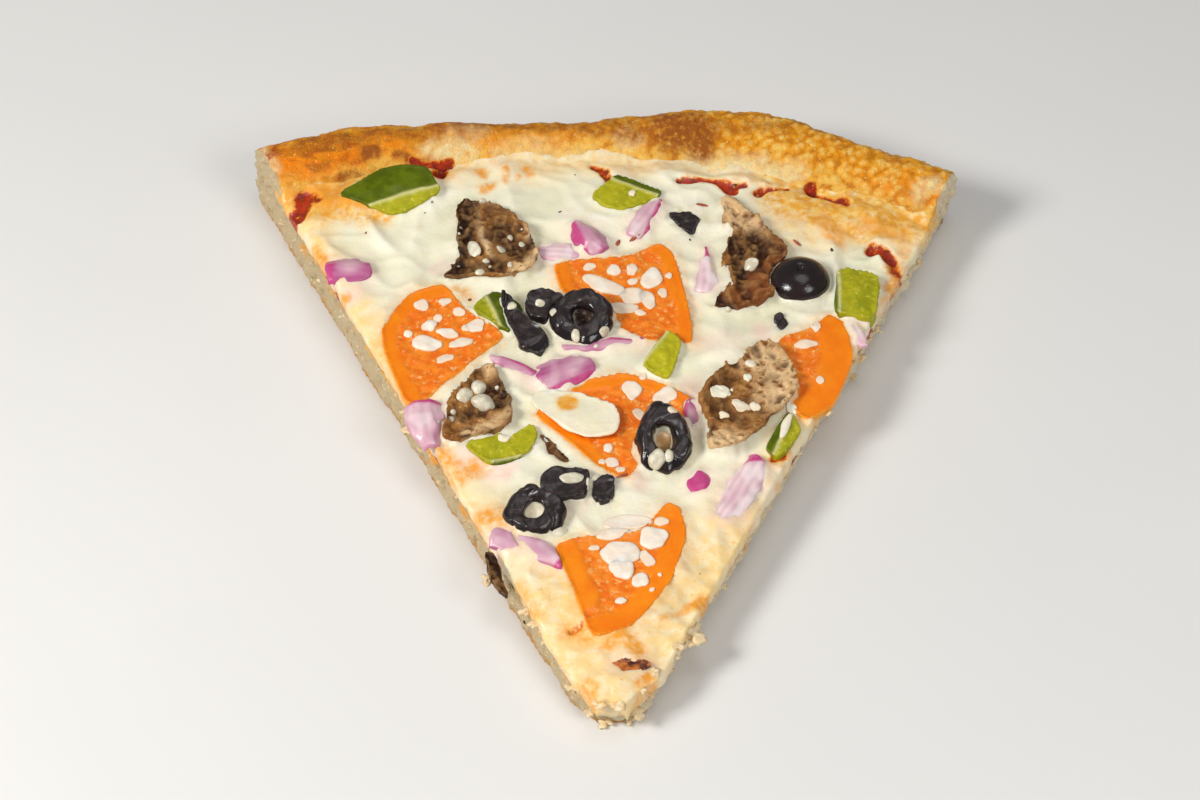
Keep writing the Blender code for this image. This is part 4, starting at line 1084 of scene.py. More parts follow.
def onion_material():
    """Red onion: pale translucent leaf with fine ribs and a magenta edge."""
    colours = bpy.context.scene.slice_colours
    material, tree, shader = new_material("red onion", 0.28, Specular_IOR_Level=0.5)
    leaf = layered(tree, colours.onion, (("blush", None, None, (0.44, 0.085, 0.24)),))
    leaf = paint(tree, sums(tree, "MULTIPLY", mask_of(tree, "rib"), 0.34), leaf, (0.60, 0.25, 0.40))
    charred = layered(tree, (0.66, 0.19, 0.035), ((3.0, 0.42, 0.62, (0.07, 0.015, 0.008)),))
    leaf = layered(tree, leaf, (
        ("sheen", None, None, (0.93, 0.80, 0.80)),
        ("side", None, None, (0.48, 0.09, 0.26)),
        ("edge", 1.0, 0.4, colours.onion_dark),
        ("crisp", None, None, charred),
    ))
    tree.links.new(leaf, shader.inputs["Base Color"])
    set_bump(tree, shader, 0.6 * MM, 0.05 * MM)
    set_soft(shader, 0.4, 1.0 * MM, (1.0, 0.5, 0.7))
    return material


def plain_material(name, colour, other, size, rough):
    """A dry material of two close colours."""
    material, tree, shader = new_material(name, rough)
    mixed = paint(tree, mottle(tree, size, 0.35, 0.65), colour, other)
    tree.links.new(mixed, shader.inputs["Base Color"])
    return material


def bake_tomato(name, material):
    """One tomato half slice: a smooth outer band and a sunken bumpy pulp."""
    bm = wrapped(merged_copy(name), bpy.context.scene.slice_sizes.topping_net, 2)
    points = positions(bm)
    facing = normals(bm)
    lines, width = TOMATO_SKINS[name]
    uneven = wander(points, 5 * MM, 0.8 * MM, 3.0)
    band = np.full(len(points), 1e9)
    for line in lines:
        places = [(APEX.x + x * MM, APEX.y + y * MM) for x, y in line]
        band = np.minimum(band, line_distance(uneven, places))
    top = smooth_step(0.2, 0.7, facing[:, 2])
    pulp = smooth_step(width * MM * 0.85, width * MM * 1.25, band) * top
    wet = 0.32 * ripple(points, 2.2 * MM, 1.0) + 0.18 * ripple(points, 1.1 * MM, 2.0)
    calm = 0.18 * ripple(points, 8 * MM, 5.0) + 0.05 * ripple(points, 1.5 * MM, 6.0)
    raised = (pulp * (wet - 0.22) + (1.0 - pulp) * calm) * MM * (0.3 + 0.7 * top)
    move_to(bm, points + facing * raised[:, None])
    golden = (1.0 - top) * 0.7
    return make_piece(name + "_baked", bm, material, (name,),
                      {"pulp": pulp, "golden": golden})


def bake_pepper(name, material):
    """One pepper chunk: taut skin on one side and grainy flesh on the rest."""
    bm = wrapped(merged_copy(name), bpy.context.scene.slice_sizes.topping_net, 2)
    points = positions(bm)
    facing = normals(bm)
    low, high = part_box(name)
    middle = (low + high) / 2
    heading, start, yellow = PEPPER_SKINS[name]
    side = (points[:, 0] - middle.x) * math.cos(math.radians(heading))
    side += (points[:, 1] - middle.y) * math.sin(math.radians(heading))
    side += 0.3 * MM * ripple(points, 3 * MM, 4.0)
    skin = smooth_step((start - 0.3) * MM, (start + 0.3) * MM, side)
    calm = 0.30 * ripple(points, 5 * MM, 2.0)
    grain = 0.26 * ripple(points, 1.6 * MM, 3.0) + 0.12 * ripple(points, 0.8 * MM, 8.0)
    crest = 0.35 * np.exp(-((side - start * MM) / (0.6 * MM)) ** 2)
    raised = (calm + (1.0 - skin) * grain + crest) * MM
    move_to(bm, points + facing * raised[:, None])
    # Painted highlight along the edge of the skin, on faces that look up
    ridge = np.exp(-((side - start * MM) / (0.45 * MM)) ** 2) * smooth_step(0.2, 0.7, facing[:, 2])
    rim = smooth_step(0.75, 0.35, facing[:, 2])
    scorch = 0.5 * rim * smooth_step(0.15, 0.5, ripple(points, 3 * MM, 9.0))
    bright = np.clip(yellow + 0.35 * ripple(points, 4 * MM, 7.0), 0.0, 1.0)
    return make_piece(name + "_baked", bm, material, (name,),
                      {"skin": skin, "yellow": bright, "scorch": scorch, "ridge": ridge})


def bake_mushroom(name, material):
    """One mushroom slice: wrinkled flesh, and gills that have shrunk and darkened."""
    bm = wrapped(merged_copy(name), bpy.context.scene.slice_sizes.topping_net, 7)
    points = positions(bm)
    points[:, :2] = wander(points, 4 * MM, 0.6 * MM, 21.0)[:, :2]
    move_to(bm, points)
    facing = normals(bm)
    uneven = wander(points, 3 * MM, 0.8 * MM, 6.0)
    dark = mark_field(uneven, MUSHROOM_DARK)
    red = mark_field(uneven, MUSHROOM_RED)
    pale = mark_field(uneven, MUSHROOM_PALE) * (1.0 - dark)
    bent = wander(points, 6 * MM, 2 * MM, 3.0)
    folds = 1.0 - np.abs(ripple(bent, 3.4 * MM, 1.5)) * 3.0
    fine = 1.0 - np.abs(ripple(bent, 1.5 * MM, 4.5)) * 3.0
    lumps = ripple(points, 1.5 * MM, 7.5)
    top = smooth_step(-0.2, 0.5, facing[:, 2])
    rim = smooth_step(0.85, 0.4, facing[:, 2]) * top
    holes, _ = cells(wander(points, 3 * MM, 0.7 * MM, 2.0), 2.7 * MM, 3.0)
    pit = smooth_step(0.42, 0.18, holes) * (1.0 - dark)
    raised = 0.40 * folds + 0.22 * fine + dark * (0.8 * lumps - 0.75) + 0.35 * rim - 0.35 * pit - 0.1
    move_to(bm, points + facing * (raised * MM * (0.25 + 0.75 * top))[:, None])
    # Painted shade in the creases of the folds
    creased = np.clip(-0.1 - 0.9 * folds, 0.0, 0.8) + np.clip(-0.5 - fine, 0.0, 0.5)
    # Painted highlights on the crests of the folds and on the lumps of the gills
    crest = np.clip(folds - 0.35, 0.0, 1.0) + np.clip(lumps - 0.2, 0.0, 0.6) * dark
    return make_piece(name + "_baked", bm, material, (name,),
                      {"dark": dark, "red": red, "pale": pale, "pit": pit,
                       "creased": np.clip(creased, 0.0, 1.0), "crest": np.clip(crest, 0.0, 1.0)})


def bake_onion(name, material):
    """One onion leaf with fine ribs along it."""
    bm = wrapped(merged_copy(name), bpy.context.scene.slice_sizes.onion_net, 3)
    points = positions(bm)
    points[:, :2] = wander(points, 3.5 * MM, 0.8 * MM, 31.0)[:, :2]
    move_to(bm, points)
    facing = normals(bm)
    middle = points.mean(0)
    flat = points[:, :2] - middle[:2]
    _, axes = np.linalg.eigh(flat.T @ flat)
    across = flat @ axes[:, 0]
    rib = 0.5 + 0.5 * np.sin(across / (0.9 * MM) * math.pi + 2.0 * ripple(points, 6 * MM, 1.0))
    depth, heading, start = ONION_TINTS[name]
    side = flat[:, 0] * math.cos(math.radians(heading)) + flat[:, 1] * math.sin(math.radians(heading))
    edge = smooth_step((start - 0.4) * MM, (start + 0.5) * MM, side)
    blush = np.clip(depth + (0.22 + 0.4 * depth) * ripple(points, 4.5 * MM, 3.0), 0.0, 1.0)
    sheen = (1.0 - depth) * smooth_step(0.05, 0.5, ripple(points, 3.4 * MM, 13.0, (1.0, 1.6, 1.0)))
    outer = 0.65 * smooth_step(0.80, 0.35, facing[:, 2]) * min(1.0, depth + 0.25)
    raised = (0.03 * (rib - 0.5) + 0.30 * ripple(points, 3 * MM, 2.0)) * MM
    move_to(bm, points + facing * raised[:, None])
    crisp = np.full(len(points), 1.0 if name == "onion_crisp" else 0.0)
    return make_piece(name + "_baked", bm, material, (name,),
                      {"rib": rib, "edge": edge, "blush": blush, "crisp": crisp, "sheen": 0.8 * sheen,
                       "side": outer})


def bake_olive(name, material):
    """One slice or scrap of black olive."""
    bm = wrapped(merged_copy(name), 0.8 * bpy.context.scene.slice_sizes.topping_net, 16)
    points = positions(bm)
    core = points.mean(0)
    wide, deep, tall = OLIVE_SHAPES.get(name, (1.0, 1.0, 1.0))
    lifted = (points[:, 1] - core[1]) * 0.10 + 0.9 * MM * ripple(points, 7 * MM, 17.0)
    above = smooth_step(core[2] - 2.0 * MM, core[2] + 1.0 * MM, points[:, 2])
    points[:, 2] += above * (lifted + (points[:, 2] - core[2]) * (tall - 1.0))
    points[:, 0] = core[0] + (points[:, 0] - core[0]) * wide
    points[:, 1] = core[1] + (points[:, 1] - core[1]) * deep
    points[:, :2] = wander(points, 5 * MM, (0.9 if "ring" in name else 0.35) * MM, 11.0)[:, :2]
    move_to(bm, points)
    facing = normals(bm)
    creases = np.clip(1.0 - 5.0 * np.abs(ripple(wander(points, 6 * MM, 2 * MM, 5.0), 5 * MM, 8.0)), 0.0, 1.0)
    raised = 0.45 * ripple(points, 4.2 * MM, 2.0) + 0.12 * ripple(points, 1.5 * MM, 5.0) - 0.35 * creases
    move_to(bm, points + facing * (raised * MM)[:, None])
    middle = points.mean(0)
    reach = np.linalg.norm(points[:, :2] - middle[:2], axis=1)
    flesh = smooth_step(0.45, 0.8, facing[:, 2]) * smooth_step(6.4 * MM, 5.4 * MM, reach)
    return make_piece(name + "_baked", bm, material, (name,), {"flesh": flesh})


def bake_olive_cap(material):
    """The glossy rounded end of an olive, with the hollow of its stalk."""
    low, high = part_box("olive_cap")
    middle = (low + high) / 2
    bm = bmesh.new()
    bmesh.ops.create_uvsphere(bm, u_segments=96, v_segments=64, radius=1.0)
    for vert in bm.verts:
        flat = vert.co.xy.length
        up = vert.co.z
        hollow = CAP_HOLLOW * math.exp(-(flat / CAP_HOLLOW_WIDTH) ** 2) if up > 0 else 0.0
        rise = (max(up, -CAP_CUT) + CAP_CUT) / (1.0 + CAP_CUT) - hollow
        vert.co = Vector((middle.x + vert.co.x * (high.x - low.x) / 2,
                          middle.y + vert.co.y * (high.y - low.y) / 2, low.z + rise * (high.z - low.z)))
    points = positions(bm)
    facing = normals(bm)
    raised = (0.22 * ripple(points, 6 * MM, 2.0) + 0.03 * ripple(points, 1.5 * MM, 5.0)) * MM
    move_to(bm, points + facing * raised[:, None])
    return make_piece("olive_cap_baked", bm, material, ("olive_cap",),
                      {"flesh": np.zeros(len(points))})


def crowns(points, toppings):
    """Height of the topping over each point, -1 where there is none, and the kind of that topping."""
    kinds = []
    for obj in toppings:
        kinds.extend([obj.name.split("_")[0]] * len(obj.data.polygons))
    tree = tree_of(toppings)
    crown = np.full(len(points), -1.0)
    owner = np.full(len(points), "", object)
    for i in range(len(points)):
        spot, _, face, _ = tree.ray_cast(Vector((points[i, 0], points[i, 1], ABOVE)), DOWN)
        if spot is not None:
            crown[i] = spot.z
            owner[i] = kinds[face]
    return crown, owner


def nearest_of(places, among):
    """For each place in plan, its distance to the nearest of some others and that one's index."""
    tree = KDTree(len(among))
    for i, place in enumerate(among):
        tree.insert(Vector((place[0], place[1], 0.0)), i)
    tree.balance()
    found = [tree.find(Vector((place[0], place[1], 0.0))) for place in places]
    return np.array([f[2] for f in found]), np.array([f[1] for f in found], int)


def melted_relief(flat, warm, edge):
    """Height of the cheese over its floor, before it meets the toppings."""
    sag = np.array([noise.noise(Vector((x / (26 * MM), y / (26 * MM), 3.1))) for x, y, _ in flat])
    broad = np.array([noise.noise(Vector((x / (9 * MM), y / (9 * MM), 7.7))) for x, y, _ in flat])
    warped = wander(flat, 30 * MM, 9 * MM, 4.0)
    ridge = np.clip(1.0 - 2.4 * np.abs(ripple(warped, 15 * MM, 11.0, (1.0, 1.5, 1.0))), 0.0, 1.0) ** 1.3
    fold = np.clip(1.0 - 2.6 * np.abs(ripple(warped, 7 * MM, 17.0, (1.5, 1.0, 1.0))), 0.0, 1.0)
    small = ripple(flat, 3.4 * MM, 5.0)
    grain = ripple(flat, 1.7 * MM, 9.0)
    lip = np.exp(-(edge / LIP_WIDTH) ** 2)
    height = CHEESE_THICK + (0.8 * sag + 0.5 * broad + 1.1 * ridge + 0.45 * fold - 0.5 - 1.0 * lip) * MM
    return height + ((0.16 + 0.34 * warm) * small + (0.04 + 0.12 * warm) * grain) * MM


def thin_on_rim(top, points, beyond, wave):
    """Bring the cheese down to a film on the crust where it runs out over the foot of the rim."""
    crust = tree_of([bpy.data.objects["dough_baked"]])
    for i in np.nonzero(beyond > -5 * MM)[0]:
        skin = crust.ray_cast(Vector((points[i, 0], points[i, 1], ABOVE)), DOWN)[0]
        if skin is not None:
            film = skin.z + max(min(0.9 * MM - 0.30 * (beyond[i] - wave[i]), 0.6 * MM), -0.6 * MM)
            top[i] = 0.5 * (top[i] + film + math.hypot(top[i] - film, 0.7 * MM))


def meet_toppings(top, points, flat, crown, owner, under):
    """Let the cheese climb the toppings' sides and creep over their edges.

    Gives the points in the open and those under a topping, for the open ones the nearest point under a
    topping and the way to it, and for the others the way to the open.
    """
    open_ids = np.nonzero(~under)[0]
    under_ids = np.nonzero(under)[0]
    smear = np.clip(0.5 + 1.5 * ripple(flat, 5 * MM, 33.0) + 0.7 * ripple(flat, 2.2 * MM, 35.0), 0.0, 1.0)
    away, nearest = nearest_of(points[open_ids], points[under_ids])
    nearest = under_ids[nearest]
    reach = np.array([SMEARS.get(owner[i], (0.0, 0.0))[1] for i in nearest])
    ceiling = crown[nearest] + (0.15 + 0.3 * smear[open_ids]) * MM + 0.45 * away
    top[open_ids] = np.minimum(top[open_ids], ceiling)
    climb = crown[nearest] - top[open_ids]
    share = np.exp(-(away / (1.3 * MM)) ** 1.3) * np.clip(reach * smear[open_ids], 0.0, 1.0)
    fillet = bpy.context.scene.slice_sizes.fillet
    top[open_ids] += np.maximum(climb, 0.0) * share + fillet * 0.5 * np.exp(-away / (1.6 * MM))
    inward, _ = nearest_of(points[under_ids], points[open_ids])
    width = np.array([SMEARS.get(owner[i], (0.0, 0.0))[0] for i in under_ids]) * MM
    film = smooth_step(1.0, 0.55, inward / np.maximum(width * smear[under_ids], 0.05 * MM))
    top[under_ids] = crown[under_ids] + (0.30 * film - 0.45 * (1.0 - film)) * MM
    return open_ids, under_ids, nearest, away, inward


def melt_cheese(material, toppings):
    """The melted layer: soft ridges, smears over the toppings' edges and an uneven lip at the cuts."""
    bm = deepened(plan_sheet(bpy.context.scene.slice_sizes.cheese_net, 0.1 * MM, 7.0 * MM), 5)
    points = positions(bm)
    level = points[:, 2].copy()
    flat = points - np.array((APEX.x, APEX.y, 0.0))
    flat[:, 2] = 0.0
    floor = layer_height(points) + CHEESE_LIFT
    edge = to_cut(points)
    radius, azimuth = polar(points)
    placed = points * np.array((1.0, 1.0, 0.0))
    warm = mark_field(wander(placed, 12 * MM, 3 * MM, 1.0), WARM_MARKS)
    top = floor + melted_relief(flat, warm, edge)
    beyond = radius - foot_radius(azimuth)
    behind = smooth_step(-9 * MM, 0.0, beyond)
    top += behind * (0.9 * ripple(flat, 7 * MM, 41.0) + 0.4 * ripple(flat, 3 * MM, 43.0)) * MM
    wave = (2.2 * ripple(flat, 9 * MM, 51.0) + 1.3 * ripple(flat, 3.5 * MM, 53.0)) * MM
    top -= 5.0 * MM * smooth_step(1.0 * MM, 4.0 * MM, beyond) * smooth_step(3.0 * MM, 1.0 * MM, edge)
    top -= 1.3 * MM * smooth_step(-3.0 * MM, 4.0 * MM, beyond - wave)
    thin_on_rim(top, points, beyond, wave)
    crown, owner = crowns(points, toppings)
    under = crown > floor + 0.8 * MM
    open_ids, under_ids, nearest, away, inward = meet_toppings(top, points, flat, crown, owner, under)
    top = np.maximum(top, floor + 0.3 * MM)

    uneven = wander(placed, 4 * MM, 1.0 * MM, 2.0)
    sauce = mark_field(wander(placed, 3 * MM, 0.7 * MM, 2.0), SAUCE_MARKS, 0.55)
    # The olive ring's hollow: the cheese is sunk there and painted dark, for the olive's floor and painted
    # shade
    hole = mark_field(wander(placed, 2 * MM, 0.4 * MM, 5.0), HOLE_MARKS, 0.4)
    top -= (1.5 * sauce + 0.8 * hole) * MM
    lip = np.exp(-(edge / LIP_WIDTH) ** 2)
    drip = np.clip(ripple(flat, 7 * MM, 21.0) + 0.35, 0.0, 1.0) * lip
    front = points[:, 1] - APEX.y - TIP_RADIUS
    brink = np.exp(-(np.maximum(front, 0.0) / (2.0 * MM)) ** 2)
    bottom = floor - (0.5 + 1.6 * drip) * MM * lip - 3.6 * MM * brink
    top -= 1.2 * MM * brink
    finished = points.copy()
    finished[:, 2] = bottom + (top - bottom) * (1.0 + level)
    finished[:, 1] -= (1.1 + 1.1 * ripple(finished, 3 * MM, 71.0)) * MM * brink
    move_to(bm, finished)
    facing = normals(bm)
    wall = smooth_step(0.8, 0.3, np.abs(facing[:, 2])) * smooth_step(1.5 * MM, 0.4 * MM, edge)
    swell = (0.5 * ripple(finished, 3.5 * MM, 4.0) + 0.3 * ripple(finished, 1.4 * MM, 9.0) + 0.25) * MM
    finished += facing * (swell * wall)[:, None]
    move_to(bm, finished)
    borders = set(open_ids[away < 1.6 * MM]) | set(under_ids[inward < 1.8 * MM])
    bm.verts.ensure_lookup_table()
    soften(bm, [bm.verts[i] for i in sorted(borders)], 3)
    soften(bm, bm.verts)
    oily = mark_field(uneven, OIL_MARKS)
    oily = np.maximum(oily, 0.55 * wall * smooth_step(0.1, 0.5, ripple(finished, 8 * MM, 14.0)))
    pink = mark_field(uneven, PINK_MARKS)
    grey = np.zeros(len(points))
    beside = np.exp(-away / (1.8 * MM))
    for kind, mask, strength in (("tomato", oily, 0.45), ("onion", pink, 0.55), ("olive", grey, 0.55),
                                 ("mushroom", grey, 0.35)):
        chosen = np.array([owner[i] == kind for i in nearest])
        mask[open_ids] = np.maximum(mask[open_ids], strength * beside * chosen)
        chosen = np.array([owner[i] == kind for i in under_ids])
        mask[under_ids] = np.maximum(mask[under_ids], strength * chosen)
    ends = 0.35 + 0.65 * smooth_step(0.17, 0.27, np.abs(azimuth))
    toasted = ends * smooth_step(-5 * MM, 1.0 * MM, beyond + 1.2 * wave)
    toasted = np.maximum(toasted, mark_field(uneven, TOASTED_MARKS))
    # Painted shade: a mask of the low places of the relief, where the cheese is coloured darker
    plain = floor + CHEESE_THICK + 0.3 * MM
    valley = smooth_step(0.5 * MM, -1.1 * MM, top - plain) * (1.0 - warm)
    return make_piece("cheese_baked", bm, material, ("cheese",),
                      {"warm": warm, "oily": oily, "pink": pink, "sauce": sauce, "grey": grey,
                       "toasted": toasted, "valley": valley, "hole": hole})


def refine_dough(bm):
    """Halve the mesh on the rim and on the cuts, where the dough's relief is fine."""
    bm.normal_update()
    fine = []
    for face in bm.faces:
        middle = face.calc_center_median()
        radius = math.hypot(middle.x - APEX.x, middle.y - APEX.y)
        azimuth = math.atan2(middle.x - APEX.x, middle.y - APEX.y)
        rim = radius > foot_radius(azimuth) - 1.5 * MM and face.normal.z > -0.6
        if rim or abs(face.normal.z) < 0.75:
            fine.append(face)
    edges = {edge for face in fine for edge in face.edges}
    bmesh.ops.subdivide_edges(bm, edges=list(edges), cuts=1, use_grid_fill=True)
    bmesh.ops.triangulate(bm, faces=[face for face in bm.faces if len(face.verts) > 4])


def torn_crumb(points):
    """How far the torn dough on the cuts stands out, as a share of the crumb's depth."""
    holes, _ = cells(wander(points, 4 * MM, 1.2 * MM, 8.0), 4.2 * MM, 9.0)
    pits = smooth_step(0.42, 0.12, holes)
    layers = ripple(points, 5 * MM, 3.0, (1.0, 1.0, 0.28))
    torn = 0.75 * ripple(points, 3.6 * MM, 1.0) + 0.5 * ripple(points, 1.7 * MM, 6.0) + 0.45 * layers
    return torn + (0.25 * ripple(points, 0.9 * MM, 12.0) - 1.1 * pits)


def bake_dough(material):
    """The base and rim: blistered golden skin, and torn open crumb along the cuts."""
    sizes = bpy.context.scene.slice_sizes
    bm = wrapped(merged_copy("dough"), sizes.dough_net, 1)
    refine_dough(bm)
    points = positions(bm)
    facing = normals(bm)
    radius, azimuth = polar(points)
    edge = to_cut(points)
    outward = np.full((len(points), 3), (0.0, -math.sin(HALF_ANGLE), 0.0))
    outward[:, 0] = np.sign(azimuth) * math.cos(HALF_ANGLE)
    toward = np.einsum("ij,ij->i", facing, outward)
    tip = smooth_step(22 * MM, 16 * MM, radius)
    cut = smooth_step(0.45, 0.75, toward) * smooth_step(5 * MM, 3 * MM, edge)
    cut = np.maximum(cut, tip * smooth_step(0.6, 0.3, np.abs(facing[:, 2])))
    rise = radius - foot_radius(azimuth)
    rim = smooth_step(-1.0 * MM, 1.5 * MM, rise) * (1.0 - cut)
    under = smooth_step(-0.5, -0.8, facing[:, 2])
    skin = rim * (1.0 - under)
    nearest, _ = cells(wander(points, 5 * MM, 0.8 * MM, 3.0), 1.9 * MM, 4.0)
    pimples = np.clip(1.0 - nearest * 1.3, 0.0, 1.0)
    right = smooth_step(-0.25, 0.1, azimuth)
    streaks = ripple(wander(points, 9 * MM, 1.5 * MM, 2.0), 1.5 * MM, 6.0, (5.0, 1.0, 1.0))
    relief = 1.0 * ripple(points, 10 * MM, 2.0) + 0.7 * ripple(points, 4.5 * MM, 5.0)
    relief += 0.45 * ripple(points, 2.1 * MM, 8.0) + 0.3 * ripple(points, 1.2 * MM, 18.0)
    relief += (0.3 + 0.8 * right) * (pimples - 0.35) + 0.5 * streaks * (1.0 - 0.6 * right)
    raised = skin * smooth_step(0.35, 1.0, relief)
    relief = np.clip(relief * sizes.blister, -1.0 * MM, 0.5 * MM)
    low = smooth_step(0.2 * MM, 1.5 * MM, points[:, 2])
    crumbly = (torn_crumb(points) * sizes.crumb * low)[:, None] * outward * cut[:, None]
    finished = points + facing * (relief * skin)[:, None] + crumbly
    sauce = mark_field(wander(points * np.array((1.0, 1.0, 0.0)), 3 * MM, 0.7 * MM, 2.0), SAUCE_MARKS, 0.55)
    sauce *= 1.0 - cut
    finished[:, 2] -= 0.5 * MM * sauce * skin
    finished[:, 2] = np.maximum(finished[:, 2], 0.0)
    move_to(bm, finished)
    uneven = wander(points, 6 * MM, 2.2 * MM, 1.0)
    brown = mark_field(uneven, CRUST_BROWN)
    back = smooth_step(0.35, -0.2, facing[:, 2]) * skin
    brown = np.maximum(brown, 0.55 * back)
    pale = mark_field(uneven, CRUST_PALE)
    orange = mark_field(uneven, CRUST_ORANGE)
    net = np.abs(ripple(wander(points, 4 * MM, 1.6 * MM, 8.0), 6.5 * MM, 27.0))
    veins = smooth_step(0.16, 0.04, net) * smooth_step(-0.15, 0.2, ripple(points, 5 * MM, 61.0))
    veins *= mark_field(uneven, VEIN_MARKS)
    streak = (1.0 - right) * smooth_step(0.1, 0.4, streaks) * smooth_step(5 * MM, 9 * MM, rise)
    foot = smooth_step(9 * MM, 2 * MM, rise + 2.5 * MM * ripple(points, 8 * MM, 3.0))
    toasted = smooth_step(1.6 * MM, 0.4 * MM, points[:, 2])
    stains = smooth_step(0.25, 0.6, ripple(points, 9 * MM, 31.0)) * cut
    upper = smooth_step(3.5 * MM, 1.0 * MM, layer_height(points) - points[:, 2])
    return make_piece("dough_baked", bm, material, ("dough",),
                      {"cut": cut, "under": under, "brown": brown * (1.0 - cut), "pale": pale * (1.0 - cut),
                       "orange": orange * (1.0 - cut), "toasted": toasted, "sauce": sauce,
                       "foot": foot * (1.0 - cut), "raised": 0.7 * raised, "veins": 0.8 * veins * (1.0 - cut),
                       "shaded": cut * smooth_step(1.0 * MM, -1.0 * MM, points[:, 0] - APEX.x),
                       "streak": 0.8 * streak * skin,
                       # painted highlight on the tops of the small blisters, on the right half
                       "pimple": 0.75 * right * skin * smooth_step(0.3, 0.7, pimples),
                       # painted shade between the small blisters, stronger on the right half
                       "between": (0.3 + 0.5 * right) * skin * smooth_step(0.25, 0.0, pimples),
                       "oily": 0.8 * stains * upper})


def bake_sauce(material):
    """The thin sauce between dough and cheese, seen along the cuts."""
    bm = deepened(plan_sheet(1.5 * MM, 0.5 * MM, -0.7 * MM), 2)
    points = positions(bm)
    floor = layer_height(points) + 0.5 * SAUCE_GAP
    level = points[:, 2].copy()
    points[:, 2] = floor + (SAUCE_THICK + SAUCE_GAP) * (1.0 + level)
    edge = to_cut(points)
    side = smooth_step(3 * MM, 0.5 * MM, edge) * np.sign(points[:, 0] - APEX.x)
    points[:, 0] -= side * 0.8 * MM * np.clip(ripple(points, 5 * MM, 6.0), -0.4, 1.0)
    move_to(bm, points)
    return make_piece("sauce_baked", bm, material, ("sauce",))


def add_bead(bm, spot, normal, width, depth, height, turn, seed):
    """Add one rounded bead with an uneven outline to a mesh, half sunk in what carries it."""
    made = bmesh.ops.create_uvsphere(bm, u_segments=22, v_segments=12, radius=1.0)
    upright = Vector((0.0, 0.0, 1.0)).rotation_difference(normal).to_matrix()
    heading = Matrix.Rotation(math.radians(turn), 3, "Z")
    for vert in made["verts"]:
        around = vert.co.copy()
        around.z *= 0.35
        swell = 1.0 + 0.30 * noise.noise(around * 0.9 + Vector((seed, 0, 0)))
        swell += 0.07 * noise.noise(around * 2.0 + Vector((0, seed, 0)))
        shaped = Vector((vert.co.x * width / 2 * swell, vert.co.y * depth / 2 * swell, vert.co.z * height))
        vert.co = spot + upright @ (heading @ shaped)


def add_puddle(bm, spot, width, depth, height, turn, seed, tree, thin):
    """Add one thin puddle with a lobed outline to a mesh, draped over what carries it."""
    made = bmesh.ops.create_uvsphere(bm, u_segments=44, v_segments=14, radius=1.0)
    heading = Matrix.Rotation(math.radians(turn), 3, "Z")
    for vert in made["verts"]:
        flat = Vector((vert.co.x, vert.co.y, 0.0))
        lobes = 1.0 + 0.42 * noise.noise(flat.normalized() * 0.8 + Vector((seed, 0, 0)))
        lobes += 0.12 * noise.noise(flat.normalized() * 1.6 + Vector((0, seed, 0)))
        out = heading @ Vector((flat.x * width / 2 * lobes, flat.y * depth / 2 * lobes, 0.0))
        place = Vector((spot.x + out.x, spot.y + out.y, spot.z + 4 * MM))
        heights = []
        for step in ((0.0, 0.0), (0.7, 0.0), (-0.7, 0.0), (0.0, 0.7), (0.0, -0.7)):
            hit = tree.ray_cast(place + Vector((*step, 0.0)) * MM, DOWN)[0]
            heights.append(max(hit.z, spot.z - 1.2 * MM) if hit is not None else spot.z - 0.6 * MM)
        ground = sum(heights) / len(heights)
        swell = 0.85 + 0.35 * noise.noise(Vector((out.x, out.y, 0.0)) / (2.4 * MM) + Vector((0, 0, seed)))
        rise = 0.16 * MM + height * swell * abs(vert.co.z) ** 0.6 if vert.co.z > 0 else 0.5 * MM * vert.co.z
        vert.co = Vector((place.x, place.y, ground + rise))
        vert[thin] = max(0.0, 1.0 - 2.1 * max(0.0, rise) / MM)


def scatter_drops(name, drops, material, tree, flat=True):
    """A joined mesh of drops at their seen places, each on the topping that carries it."""
    bm = bmesh.new()
    thin = bm.verts.layers.float.new("thin")
    for k, (x, y, width, depth, height, turn) in enumerate(drops):
        spot, normal = touch((x, y), tree)
        seed = 3.7 * k + 1.0
        if flat:
            add_puddle(bm, spot, width * MM, PUDDLE_DEPTH * depth * MM, PUDDLE_HEIGHT * height * MM, turn,
                       seed, tree, thin)
        else:
            add_bead(bm, spot, normal, width * MM, depth * MM, BEAD_HEIGHT * height * MM, turn, seed)
    bmesh.ops.recalc_face_normals(bm, faces=bm.faces)
    return make_piece(name, bm, material)


def lay_pool(material):
    """The large pool of cheese on the middle tomato slice, which runs out to the back and the left."""
    bm = wrapped(merged_copy("cheese_pool"), 0.45 * MM, 12)
    points = positions(bm)
    core = points.mean(0)
    out = smooth_step(-1 * MM, 7 * MM, 0.75 * (core[0] - points[:, 0]) + 0.66 * (points[:, 1] - core[1]))
    points += out[:, None] * np.array((-6.0, 4.6, 0.0)) * MM
    points[:, 2] -= 1.3 * MM * out ** 2
    points[:, 0] += 0.8 * MM * ripple(points, 7 * MM, 3.0)
    move_to(bm, points)
    facing = normals(bm)
    raised = (0.5 * ripple(points, 6 * MM, 2.0) + 0.12 * ripple(points, 2 * MM, 4.0)) * MM
    move_to(bm, points + facing * raised[:, None])
    uneven = wander(points, 2 * MM, 0.4 * MM, 2.0)
    spot = mark_field(uneven, POOL_SPOT)
    zero = np.zeros(len(points))
    return make_piece("cheese_pool_baked", bm, material, ("cheese_pool",),
                      {"warm": zero + 0.12, "oily": np.clip(2.2 * spot - 0.6, 0.0, 1.0), "pink": zero + 0.1,
                       "sauce": zero, "grey": zero, "toasted": np.clip(1.6 * spot, 0.0, 1.0), "valley": zero,
                       "hole": zero})


